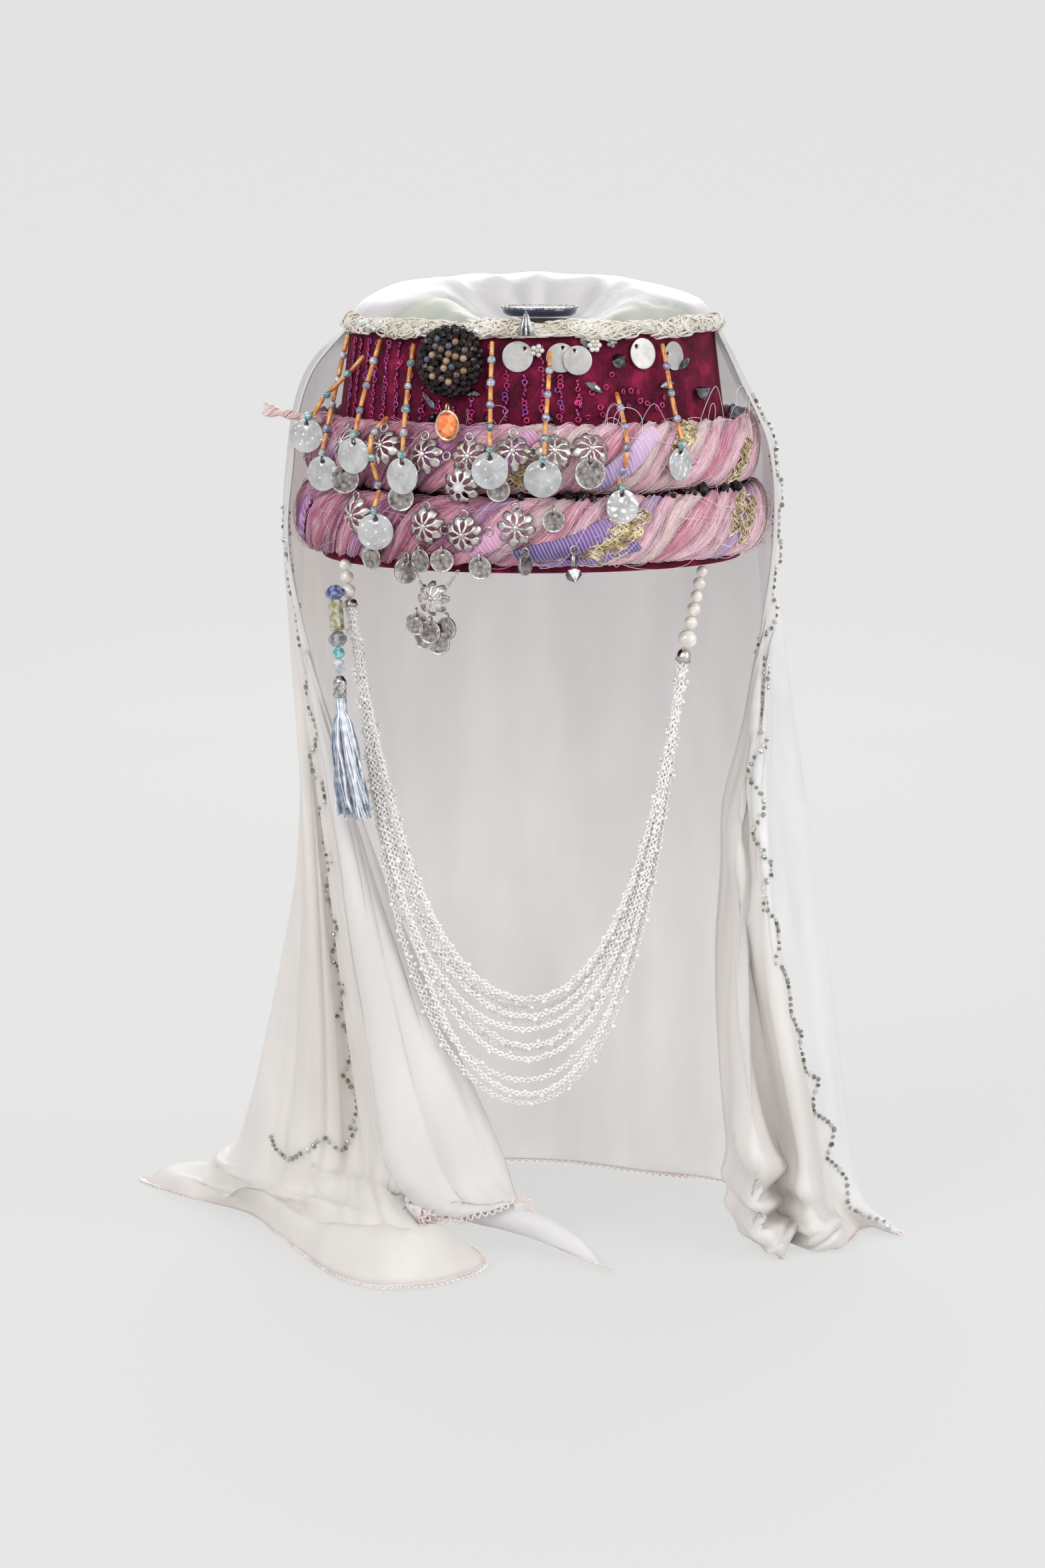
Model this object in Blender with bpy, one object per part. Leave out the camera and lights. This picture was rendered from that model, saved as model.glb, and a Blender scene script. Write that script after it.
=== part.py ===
"""Coin fez headdress: a velvet fez with a silk veil, wound yarn rolls, strings of
beads and coins, pierced flower domes and a beaded chin strap.

Metres, +Z up. The origin is the centre of the rim plane, and the front faces -Y.
An azimuth is counted from the front towards +X, in degrees.
"""

import math

import bpy
import numpy as np
from mathutils import Matrix, Vector

MM = 0.001
GAP = 0.3 * MM

# The fez: an oval drum that tapers upwards
RIM_A = 88.0 * MM
RIM_B = 94.0 * MM
FEZ_HEIGHT = 98.0 * MM
TAPER = 0.122
FELT = 2.5 * MM
TOP_ROUND = 2.0 * MM

# The two yarn rolls: height of the centre, half height and half thickness
ROLL_UPPER = dict(centre=46.0 * MM, half_height=14.3 * MM, half_thick=6.5 * MM, phase=0.6)
ROLL_LOWER = dict(centre=17.2 * MM, half_height=14.0 * MM, half_thick=6.5 * MM, phase=0.0)
ROLL_TWISTS = 12
ROLL_RELIEF = 0.10

# The veil
CLOTH = 1.2 * MM
VEIL_RIM_A = 77.4 * MM
VEIL_RIM_B = 83.4 * MM
VEIL_RIM_Z = 96.5 * MM
VEIL_CROWN_Z = 100.0 * MM
PUFF_HEIGHT = 16.0 * MM
BUTTON_X = 3.0 * MM
BUTTON_Y = -52.0 * MM
BUTTON_RADIUS = 16.0 * MM
BUTTON_THICK = 4.0 * MM
# Levels at which every fold line of the veil has a place
SHOULDER_Z = 75.0 * MM
BAND_Z = 42.0 * MM
NAPE_Z = -10.0 * MM
MID_Z = -120.0 * MM
LOW_Z = -235.0 * MM
# Between low and hem the cloth nearly reaches the ground before it spreads
TOUCH_REACH = 0.33
TOUCH_DROP = 0.74

# Fold lines of the veil, from the left front edge round the back to the right one.
# Millimetres: where the line passes at mid height and low down, and where its hem lies.
FOLD_COLUMNS = ("name", "azimuth", "mid_x", "mid_y", "low_x", "low_y", "hem_x", "hem_y", "hem_z")
FOLDS = (
    ("left_edge", -76, -68, -38, -18, -42, 32, -104, -284),
    ("panel_middle", -78, -73, -44, -38, -53, -4, -74, -276),
    ("panel_left", -80, -78, -47, -60, -55, -40, -60, -272),
    ("roll_right", -82, -81, -37, -63, -34, -20, -92, -284),
    ("roll_front", -84, -84, -31, -69, -26, -48, -130, -285),
    ("roll_left", -87, -87, -27, -75, -20, -78, -112, -285),
    ("left_valley", -91, -90, -30, -84, -26, -106, -34, -285),
    ("left_bead", -96, -94, -26, -94, -22, -122, 6, -284),
    ("left_side", -108, -98, -4, -111, 4, -150, 44, -285),
    ("left_tip", -120, -97, 24, -120, 36, -170, 84, -285),
    ("left_back", -136, -90, 58, -104, 76, -118, 104, -285),
    ("back_left", -157, -54, 98, -60, 108, -64, 120, -285),
    ("back", -180, 0, 112, 2, 119, 4, 123, -285),
    ("back_right", -203, 46, 100, 50, 98, 54, 96, -285),
    ("right_corner", -225, 80, 72, 81, 75, 84, 78, -285),
    ("right_back", -248, 106, 38, 117, 34, 128, 26, -285),
    ("right_side", -263, 117, -2, 132, -6, 154, -30, -285),
    ("right_bead", -269, 102, -42, 123, -34, 140, -20, -285),
    ("right_fold_2", -273, 95, -60, 112, -62, 126, -60, -285),
    ("right_valley", -276, 90, -48, 101, -42, 111, -28, -285),
    ("right_fold_1", -279, 85, -51, 91, -68, 103, -77, -285),
    ("right_edge", -283, 78, -20, 81, -20, 87, -26, -285),
)

# Pierced flower domes: azimuth, height of the middle, tilt upwards
DOME_RADIUS = 7.0 * MM
DOME_RISE = 3.6 * MM
DOME_THICK = 0.7 * MM
DOME_PETALS = 8
DOMES = (
    (-50, 54, 25), (-37.5, 54, 25), (-26, 50, 15), (-15, 49, 10), (-4.5, 53, 22), (5, 53, 22),
    (13.5, 54, 25), (-16.5, 35, -5), (-45, 22, 0), (-25, 18.5, -5), (-15.8, 15, -8), (-3.7, 19.5, 0),
)

# Small coins on jump rings: azimuth, height, turn about the vertical, radius in millimetres
COIN_THICK = 0.9 * MM
SMALL_COINS = (
    (12.8, 41, 0, 6.4), (-8.2, 34, 10, 4.8), (-32, 30, 25, 5.4), (4.8, 22, 0, 4.6),
    (-41, 5, 5, 4.8), (-31, 1, 62, 5.6), (-27, 5, -12, 4.8), (-21.4, 5.5, 15, 4.8),
    (-12.2, 3, -8, 4.8), (-1.6, 5, 60, 4.8), (9.5, 6, 70, 4.6), (-50, 36, 55, 6.0),
)

# Bead strings: azimuth and height at the top, azimuth and height of the coin's middle,
# the coin's turn about the vertical and its radius in millimetres
STRING_RADIUS = 1.4 * MM
STRINGS = (
    (-69, 92, -60, 37, 35, 7.2), (-61, 84, -65, 52, 58, 7.0), (-52, 91, -45, 46, 18, 7.4),
    (-37.5, 90, -30.5, 39, 0, 7.4), (-40, 60, -37.5, 16, 30, 7.4), (-11.5, 92, -9.6, 42, 0, 7.5),
    (5, 88, 2.2, 39, 0, 7.6), (25, 71, 21, 27, 0, 7.0), (42, 90, 37.5, 43, 8, 6.8),
)

# Smooth discs: azimuth, height, radius; studs: azimuth, height, tilt; all on the velvet or rolls
DISC_THICK = 0.6 * MM
DISCS = ((-4.4, 86.5, 6.3), (8.4, 86, 6.0), (13.2, 85, 6.0), (35, 87, 6.4), (47.5, 85.5, 6.0))
STUD_RADIUS = 3.4 * MM
STUD_RISE = 6.0 * MM
STUDS = ((26, 84, 25), (58, 69, 30), (64, 62, 0), (8.9, 1.5, -35))

BROOCH = dict(azimuth=-23.5, z=84.5 * MM, radius=15.0 * MM, rise=9.0 * MM)
DROP = dict(azimuth=-20.4, z=60.0 * MM, half_width=5.0 * MM, half_height=6.2 * MM, half_thick=3.2 * MM)

# The hanging dome is a smaller copy of the flower dome, with a cluster of coins under it
MEDALLION = dict(azimuth=-24.0, z=-10.0 * MM, size_share=0.9, coin_radius=4.7 * MM)

# The tassel: length of head and skirt, and how far the skirt leans to the right
TASSEL_LENGTH = 60.0 * MM
TASSEL_LEAN = 6.0 * MM
TASSEL_DROP = 0.7 * MM

STRAP_SAG_INNER = 152.0 * MM
STRAP_SAG_OUTER = 196.0 * MM
STRAP_DEPTH = 4.0 * MM


def clear_scene():
    for obj in list(bpy.data.objects):
        bpy.data.objects.remove(obj, do_unlink=True)


def material(name, colour, roughness, metallic=0.0):
    found = bpy.data.materials.get(name)
    if found:
        return found
    new = bpy.data.materials.new(name)
    new.use_nodes = True
    shader = new.node_tree.nodes["Principled BSDF"]
    shader.inputs["Base Color"].default_value = (*colour, 1.0)
    shader.inputs["Roughness"].default_value = roughness
    shader.inputs["Metallic"].default_value = metallic
    new.diffuse_color = (*colour, 1.0)
    return new


VELVET = dict(name="velvet", colour=(0.16, 0.012, 0.05), roughness=0.8)
SILK = dict(name="veil_silk", colour=(0.78, 0.74, 0.72), roughness=0.5)
LACE = dict(name="crochet_lace", colour=(0.82, 0.78, 0.70), roughness=0.8)
YARN = dict(name="pink_yarn", colour=(0.72, 0.42, 0.50), roughness=0.55)
NAVY = dict(name="navy_enamel", colour=(0.01, 0.02, 0.09), roughness=0.25)
NICKEL = dict(name="aged_nickel", colour=(0.42, 0.38, 0.35), roughness=0.35, metallic=1.0)
SILVER = dict(name="hammered_silver", colour=(0.80, 0.80, 0.80), roughness=0.3, metallic=1.0)
BLACK = dict(name="black_beads", colour=(0.02, 0.015, 0.025), roughness=0.2)
AMBER = dict(name="orange_glass", colour=(0.85, 0.25, 0.06), roughness=0.1)
STUD = dict(name="grey_stud", colour=(0.18, 0.18, 0.20), roughness=0.2, metallic=1.0)
BUGLE = dict(name="bugle_beads", colour=(0.80, 0.42, 0.10), roughness=0.25)
PEARL = dict(name="pearl", colour=(0.88, 0.84, 0.78), roughness=0.25)
STRAND = dict(name="white_strands", colour=(0.88, 0.87, 0.84), roughness=0.6)
STACK = dict(name="stack_beads", colour=(0.30, 0.38, 0.30), roughness=0.15)
TASSEL = dict(name="tassel_rayon", colour=(0.55, 0.62, 0.75), roughness=0.4)


def add_mesh(name, points, faces, look):
    """One object from a vertex array and a list of faces, with its normals turned out."""
    mesh = bpy.data.meshes.new(name)
    mesh.from_pydata(np.asarray(points).tolist(), [], [tuple(map(int, face)) for face in faces])
    mesh.validate()
    volume = 0.0
    for face in mesh.polygons:
        corners = [mesh.vertices[i].co for i in face.vertices]
        for second, third in zip(corners[1:-1], corners[2:]):
            volume += corners[0].dot(second.cross(third))
    if volume < 0:
        mesh.flip_normals()
    mesh.shade_smooth()
    mesh.set_sharp_from_angle(angle=math.radians(38))
    obj = bpy.data.objects.new(name, mesh)
    obj.data.materials.append(material(**look))
    bpy.context.scene.collection.objects.link(obj)
    return obj


def ring_faces(rings, sides):
    """Quads between successive closed rings of the same number of points."""
    row, column = np.meshgrid(np.arange(rings - 1), np.arange(sides), indexing="ij")
    here = row * sides + column
    after = row * sides + (column + 1) % sides
    return np.stack([here, after, after + sides, here + sides], axis=-1).reshape(-1, 4).tolist()


def capped(rings, sides):
    """Ring faces with a fan to one pole point at each end: the poles follow the rings."""
    faces = ring_faces(rings, sides)
    first, last = rings * sides, rings * sides + 1
    end = (rings - 1) * sides
    for i in range(sides):
        j = (i + 1) % sides
        faces.append((first, j, i))
        faces.append((last, end + i, end + j))
    return faces


def outward(azimuth):
    """Horizontal unit normal of the oval at this azimuth in degrees."""
    angle = math.radians(azimuth)
    normal = Vector((math.sin(angle) / RIM_A, -math.cos(angle) / RIM_B, 0.0))
    return normal.normalized()


def on_oval(azimuth, z, extra=0.0):
    """A point on the fez wall at this azimuth and height, moved out by extra."""
    angle = np.radians(azimuth)
    shrink = TAPER * z - extra
    return np.stack([(RIM_A - shrink) * np.sin(angle), -(RIM_B - shrink) * np.cos(angle), z + 0 * angle], axis=-1)


# Seating: what lies on the headdress is lowered on to what is already there

CELL = 0.5 * MM


def world_samples(points, faces):
    """Points spread over every triangle of a mesh, closer together than one cell."""
    triangles = np.array([(f[0], f[i], f[i + 1]) for f in faces for i in range(1, len(f) - 1)])
    corners = np.asarray(points)[triangles]
    longest = np.linalg.norm(corners - np.roll(corners, 1, axis=1), axis=2).max(axis=1)
    steps = np.maximum(1, np.ceil(longest / (0.75 * CELL)).astype(int))
    found = []
    for count in np.unique(steps):
        i, j = np.meshgrid(np.arange(count + 1), np.arange(count + 1), indexing="ij")
        keep = i + j <= count
        s, t = i[keep] / count, j[keep] / count
        weights = np.stack([1 - s - t, s, t], axis=1)
        found.append(np.einsum("wk,nkc->nwc", weights, corners[steps == count]).reshape(-1, 3))
    return np.concatenate(found)


class Pile:
    """Everything seated so far, as one cloud of surface points."""

    def __init__(self):
        self.cloud = np.zeros((0, 3))

    def add(self, obj):
        mesh = obj.data
        points = np.array([obj.matrix_world @ v.co for v in mesh.vertices])
        samples = world_samples(points, [tuple(p.vertices) for p in mesh.polygons])
        in_front = (samples[:, 1] < 0) & (samples[:, 2] > -60 * MM)
        self.cloud = np.concatenate([self.cloud, samples[in_front]])

    def seated(self, points, faces, direction, gap=GAP):
        """The points moved along a direction until they rest on the pile with a gap."""
        n = np.array(direction)
        side = np.cross(n, (0.0, 0.0, 1.0) if abs(n[2]) < 0.9 else (1.0, 0.0, 0.0))
        side /= np.linalg.norm(side)
        other = np.cross(n, side)
        plane = np.stack([side, other], axis=1)
        own = world_samples(points, faces)
        own_cell = np.floor(own @ plane / CELL).astype(int)
        low = own_cell.min(axis=0) - 2
        size = own_cell.max(axis=0) + 3 - low
        cell = np.floor(self.cloud @ plane / CELL).astype(int) - low
        inside = ((cell >= 0) & (cell < size)).all(axis=1)
        top = np.full(size, -1.0)
        np.maximum.at(top, tuple(cell[inside].T), self.cloud[inside] @ n)
        clearance = own @ n - top[tuple((own_cell - low).T)]
        return np.asarray(points) - n * (clearance.min() - gap)


def tilted(azimuth, tilt=0.0, turn=0.0):
    """Columns right, up and out of a piece that faces outwards, turned and tilted back."""
    out = outward(azimuth)
    out.rotate(Matrix.Rotation(math.radians(turn), 3, "Z"))
    right = Vector((0, 0, 1)).cross(out).normalized()
    out = (out * math.cos(math.radians(tilt)) + Vector((0, 0, math.sin(math.radians(tilt))))).normalized()
    up = out.cross(right)
    return np.array([right, up, out])


def placed(local, azimuth, z, tilt=0.0, turn=0.0, stand_off=25 * MM):
    """Local points (right, up, out) set well in front of the wall at this place."""
    start = on_oval(azimuth, z) + np.array(outward(azimuth)) * stand_off
    return np.asarray(local) @ tilted(azimuth, tilt, turn) + start


def disc(radius, thick, sides=16):
    """A flat round disc as local points and faces."""
    angle = np.arange(sides) * 2 * math.pi / sides
    ring = np.stack([radius * np.cos(angle), radius * np.sin(angle), 0 * angle], axis=1)
    points = np.concatenate([ring - (0, 0, thick / 2), ring + (0, 0, thick / 2)])
    faces = ring_faces(2, sides)
    faces.append(tuple(range(sides))[::-1])
    faces.append(tuple(range(sides, 2 * sides)))
    return points, faces


def lathe(profile, sides):
    """A solid turned about its own out axis from (radius, height) pairs, pointed at both ends."""
    angle = np.arange(sides) * 2 * math.pi / sides
    inner = profile[1:-1]
    rings = [
        np.stack([r * np.cos(angle), r * np.sin(angle), h + 0 * angle], axis=1) for r, h in inner
    ]
    poles = np.array([[0, 0, profile[0][1]], [0, 0, profile[-1][1]]])
    return np.concatenate(rings + [poles]), capped(len(inner), sides)


def sweep(path, radii, sides, flat=1.0, across=(0.0, 1.0, 0.0)):
    """A closed tube along a path with a radius at each point; flat squeezes it along across."""
    path = np.asarray(path, float)
    forward = np.gradient(path, axis=0)
    forward /= np.linalg.norm(forward, axis=1, keepdims=True)
    first = np.cross(forward, across)
    first /= np.linalg.norm(first, axis=1, keepdims=True)
    second = np.cross(first, forward)
    angle = np.arange(sides) * 2 * math.pi / sides
    radii = np.asarray(radii, float)[:, None, None]
    ring = np.cos(angle)[None, :, None] * first[:, None] + flat * np.sin(angle)[None, :, None] * second[:, None]
    points = (path[:, None] + radii * ring).reshape(-1, 3)
    poles = np.stack([path[0] - forward[0] * radii[0, 0, 0] * 0.3, path[-1] + forward[-1] * radii[-1, 0, 0] * 0.3])
    return np.concatenate([points, poles]), capped(len(path), sides)


def join_solids(base, parts):
    """Fuses hidden solids into the base with exact Boolean unions."""
    for part in parts:
        part.hide_render = True
        part.display_type = "WIRE"
        part.hide_set(True)
        union = base.modifiers.new("fuse_" + part.name, "BOOLEAN")
        union.operation = "UNION"
        union.object = part


def fez_cap():
    sides = 40
    inner_top = FEZ_HEIGHT - FELT
    rings = [
        (FEZ_HEIGHT, -TOP_ROUND * 0.75), (FEZ_HEIGHT - TOP_ROUND, 0.0), (FEZ_HEIGHT / 2, 0.0), (0.0, 0.0),
        (0.0, -FELT), (inner_top / 2, -FELT), (inner_top, -FELT),
    ]
    azimuth = np.arange(sides) * 360.0 / sides
    points = [on_oval(azimuth, z, extra) for z, extra in rings]
    poles = np.array([[0, 0, FEZ_HEIGHT], [0, 0, inner_top]])
    return add_mesh("fez_cap", np.concatenate(points + [poles]), capped(len(rings), sides), VELVET)


def yarn_roll(name, roll):
    """A ring round the fez whose oval section carries a helical twist of lumps."""
    around, section = 54, 8
    azimuth, turn = np.meshgrid(
        np.arange(around) * 360.0 / around, np.arange(section) * 2 * math.pi / section, indexing="ij"
    )
    lump = 1 - ROLL_RELIEF * (0.5 + 0.5 * np.cos(np.radians(ROLL_TWISTS * azimuth) + turn + roll["phase"]))
    seat = 1.5 * GAP + roll["half_thick"]
    offset = seat + roll["half_thick"] * lump * np.cos(turn)
    z = roll["centre"] + roll["half_height"] * lump * np.sin(turn)
    angle = np.radians(azimuth)
    wall = TAPER * roll["centre"]
    points = np.stack(
        [(RIM_A - wall + offset) * np.sin(angle), -(RIM_B - wall + offset) * np.cos(angle), z], axis=-1
    )
    faces = []
    for i in range(around):
        for j in range(section):
            k, m = (i + 1) % around, (j + 1) % section
            faces.append((i * section + j, k * section + j, k * section + m, i * section + m))
    return add_mesh(name, points.reshape(-1, 3), faces, YARN)


def smooth_rows(values, per_span):
    """Catmull-Rom curve through the rows of an array, with per_span samples in each span."""
    padded = np.concatenate([2 * values[:1] - values[1:2], values, 2 * values[-1:] - values[-2:-1]])
    rows = []
    for i in range(len(values) - 1):
        p0, p1, p2, p3 = padded[i : i + 4]
        for t in np.arange(per_span) / per_span:
            rows.append(
                0.5 * (2 * p1 + (p2 - p0) * t + (2 * p0 - 5 * p1 + 4 * p2 - p3) * t**2
                       + (3 * p1 - p0 - 3 * p2 + p3) * t**3)
            )
    rows.append(values[-1])
    return np.array(rows)


def veil_rim(azimuth):
    """The line where the crown of the veil turns down into its skirt."""
    angle = np.radians(azimuth)
    return np.stack([VEIL_RIM_A * np.sin(angle), -VEIL_RIM_B * np.cos(angle), VEIL_RIM_Z + 0 * angle], axis=-1)


def veil_crown(azimuth, share):
    """Height field of the veil over the crown: puffed, and pressed flat under the button."""
    rim = veil_rim(azimuth)
    spot = rim * [share, share, 0]
    away = np.hypot(spot[..., 0] - BUTTON_X, spot[..., 1] - BUTTON_Y)
    rise = np.clip((away - BUTTON_RADIUS * 1.15) / (1.6 * BUTTON_RADIUS), 0, 1)
    rise = rise * rise * (3 - 2 * rise)
    spot[..., 2] = VEIL_CROWN_Z + PUFF_HEIGHT * rise * (1 - min(share, 1.0) ** 3.5) ** 0.8
    return spot


def veil_skirt_levels(fold):
    """The points of one fold line from the crown's rim down to its hem, in metres."""
    row = dict(zip(FOLD_COLUMNS, fold))
    angle = math.radians(row["azimuth"])
    sine, cosine = math.sin(angle), -math.cos(angle)
    left = max(0.0, -sine)
    rim = veil_rim(row["azimuth"])
    shoulder = ((88 + 7 * left) * MM * sine, 95 * MM * cosine, SHOULDER_Z)
    band = (102 * MM * sine, 108 * MM * cosine, BAND_Z)
    nape = (102 * MM * sine, 107 * MM * cosine, NAPE_Z)
    mid = (row["mid_x"] * MM, row["mid_y"] * MM, MID_Z)
    low = (row["low_x"] * MM, row["low_y"] * MM, LOW_Z)
    hem = (row["hem_x"] * MM, row["hem_y"] * MM, row["hem_z"] * MM)
    touch = np.array(low) + (np.array(hem) - low) * (TOUCH_REACH, TOUCH_REACH, TOUCH_DROP)
    return np.array([rim, shoulder, band, nape, mid, low, touch, hem])


def veil():
    """A thin shell: the crown's height field, and the skirt through the fold lines."""
    lines = np.array([veil_skirt_levels(fold) for fold in FOLDS])
    skirt = smooth_rows(lines, 2)
    side_azimuth = smooth_rows(np.array([[float(fold[1])] for fold in FOLDS]), 2)[:, 0]
    front_azimuth = np.linspace(side_azimuth[-1], side_azimuth[0] - 360.0, 12)[1:-1]
    azimuth = np.concatenate([side_azimuth, front_azimuth])
    shares = (0.4, 0.75, 0.97)
    crown = [veil_crown(azimuth, share) for share in shares]
    crown.append(veil_rim(azimuth))
    columns = len(azimuth)
    pole = veil_crown(np.array([0.0]), 0.0)
    points = [np.concatenate(crown), pole]
    faces = ring_faces(len(crown), columns)
    pole_index = len(crown) * columns
    faces += [(pole_index, (i + 1) % columns, i) for i in range(columns)]
    rim_start = (len(crown) - 1) * columns
    side_count, levels = skirt.shape[0], skirt.shape[1]
    below = skirt[:, 1:].reshape(-1, 3)
    points.append(below)
    below_start = pole_index + 1

    def index(column, level):
        if level == 0:
            return rim_start + column
        return below_start + column * (levels - 1) + level - 1

    for column in range(side_count - 1):
        for level in range(levels - 1):
            faces.append(
                (index(column, level), index(column + 1, level), index(column + 1, level + 1), index(column, level + 1))
            )
    obj = add_mesh("veil", np.concatenate(points), faces, SILK)
    shell = obj.modifiers.new("cloth", "SOLIDIFY")
    shell.thickness = CLOTH
    shell.offset = 0.0
    shell.use_rim = True
    return obj


def crown_lace():
    """The picot edging: a thin standing strip with a wavy top along the front rim."""
    azimuth = np.linspace(-74, 75, 31)
    wave = 0.7 * MM * np.cos(np.arange(31) * math.pi)
    low, high, near, far = 94.3 * MM, 99.0 * MM, 2.3 * MM, 3.2 * MM
    corners = [(low, near, 0), (low, far, 0), (high, far, 1), (high, near, 1)]
    points = np.stack(
        [on_oval(azimuth, z + share * wave, extra) for z, extra, share in corners], axis=1
    )
    faces = ring_faces(31, 4) + [(3, 2, 1, 0), (120, 121, 122, 123)]
    return add_mesh("crown_lace", points.reshape(-1, 3), faces, LACE)


def crown_disc(pile):
    """The navy button with its scalloped silver rim, flat on the veil."""
    sides = 24
    profile = [(0, 0), (0.86, 0), (1.0, 0.25), (1.0, 0.45), (0.84, 0.6), (0.8, 0.85), (0.0, 1.0)]
    local, faces = lathe([(r * BUTTON_RADIUS, h * BUTTON_THICK) for r, h in profile], sides)
    angle = np.arctan2(local[:, 1], local[:, 0])
    radius = np.hypot(local[:, 0], local[:, 1])
    scallop = 1 + 0.03 * np.cos(12 * angle) * (radius > 0.9 * BUTTON_RADIUS)
    local[:, :2] *= scallop[:, None]
    local += (BUTTON_X, BUTTON_Y, 130 * MM)
    return add_mesh("crown_disc", pile.seated(local, faces, (0, 0, 1)), faces, NAVY)


def bell_bead(pile):
    """A ribbed bell bead with its point up, at the front edge under the button."""
    profile = [(0, 5.5), (1.0, 5.0), (2.0, 2.5), (3.0, -2.0), (2.6, -4.2), (0, -4.6)]
    local, faces = lathe([(r * MM, h * MM) for r, h in profile], 16)
    radius = 1 + 0.10 * np.cos(8 * np.arctan2(local[:, 1], local[:, 0]))
    local[:, :2] *= radius[:, None]
    local = local[:, [0, 2, 1]] * [1, 1, -1]
    points = placed(local, -1.8, 99.5 * MM)
    return add_mesh("bell_bead", pile.seated(points, faces, outward(-1.8)), faces, NICKEL)


def flower_dome():
    """A pierced dome: pointed petals cut apart from the rim to the hub."""
    step = 2 * math.pi / DOME_PETALS
    rows = []
    for petal in range(DOME_PETALS):
        middle = petal * step
        rows += [(0.34, middle - step / 2), (0.70, middle - 0.36 * step), (1.0, middle), (0.70, middle + 0.36 * step)]
    radius = np.array([r for r, _ in rows]) * DOME_RADIUS
    angle = np.array([a for _, a in rows])
    rise = DOME_RISE * (1 - (radius / DOME_RADIUS) ** 2)
    top = np.stack([radius * np.cos(angle), radius * np.sin(angle), rise + DOME_THICK], axis=1)
    hub = np.array([[0, 0, DOME_RISE + DOME_THICK]])
    under = (0, 0, DOME_THICK)
    count = len(top)
    points = np.concatenate([top, hub, top - under, hub - under])
    faces = []
    for petal in range(DOME_PETALS):
        first = petal * 4
        outline = [first, first + 1, first + 2, first + 3, (first + 4) % count]
        hub_face = [count, outline[0], outline[-1]]
        middle = [outline[0], outline[1], outline[3], outline[4]]
        tip = outline[1:4]
        for face in (hub_face, middle, tip):
            faces.append(tuple(face))
            faces.append(tuple(i + count + 1 for i in reversed(face)))
        for a, b in zip(outline[:-1], outline[1:]):
            faces.append((b, a, a + count + 1, b + count + 1))
    return points, faces


def filigree_domes(pile):
    local, faces = flower_dome()
    for number, (azimuth, z, tilt) in enumerate(DOMES, 1):
        spin = math.radians(13 * number)
        turn = np.array([[math.cos(spin), math.sin(spin), 0], [-math.sin(spin), math.cos(spin), 0], [0, 0, 1]])
        points = placed(local @ turn, azimuth, z * MM, tilt)
        points = pile.seated(points, faces, tilted(azimuth, tilt)[2])
        pile.add(add_mesh(f"filigree_{number}", points, faces, NICKEL))


def small_coins(pile):
    for number, (azimuth, z, turn, radius) in enumerate(SMALL_COINS, 1):
        local, faces = disc(radius * MM, COIN_THICK, 12)
        points = placed(local, azimuth, z * MM, 0.0, turn)
        points = pile.seated(points, faces, outward(azimuth))
        pile.add(add_mesh(f"small_coin_{number}", points, faces, NICKEL))


def sequin_discs(pile):
    for number, (azimuth, z, radius) in enumerate(DISCS, 1):
        local, faces = disc(radius * MM, DISC_THICK)
        points = pile.seated(placed(local, azimuth, z * MM, 7.0), faces, outward(azimuth))
        pile.add(add_mesh(f"sequin_disc_{number}", points, faces, SILVER))


def studs(pile):
    """Faceted cones with a short skirt, pointing outwards."""
    profile = [(0, 0), (0.82, 0), (1.0, 0.18), (0.0, 1.0)]
    for number, (azimuth, z, tilt) in enumerate(STUDS, 1):
        local, faces = lathe([(r * STUD_RADIUS, h * STUD_RISE) for r, h in profile], 8)
        points = pile.seated(placed(local, azimuth, z * MM, tilt), faces, outward(azimuth))
        pile.add(add_mesh(f"stud_{number}", points, faces, STUD))


def brooch(pile):
    """A dome whose surface swells into rows of faceted beads."""
    sides = 20
    rise, radius = BROOCH["rise"], BROOCH["radius"]
    profile = [(0, 0), (0.92, 0.0), (1.0, 0.22), (0.90, 0.45), (0.74, 0.74), (0.5, 0.85), (0.26, 1.0), (0, 0.96)]
    local, faces = lathe([(r * radius, h * rise) for r, h in profile], sides)
    angle = np.arctan2(local[:, 1], local[:, 0])
    share = np.hypot(local[:, 0], local[:, 1]) / radius
    bead = np.where(np.isclose(local[:, 2], 0), 0, 0.05 * np.cos(10 * angle + 9 * share))
    local[:, :2] *= (1 + bead)[:, None]
    points = placed(local, BROOCH["azimuth"], BROOCH["z"], 4.0)
    points = pile.seated(points, faces, outward(BROOCH["azimuth"]))
    pile.add(add_mesh("brooch", points, faces, BLACK))


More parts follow.
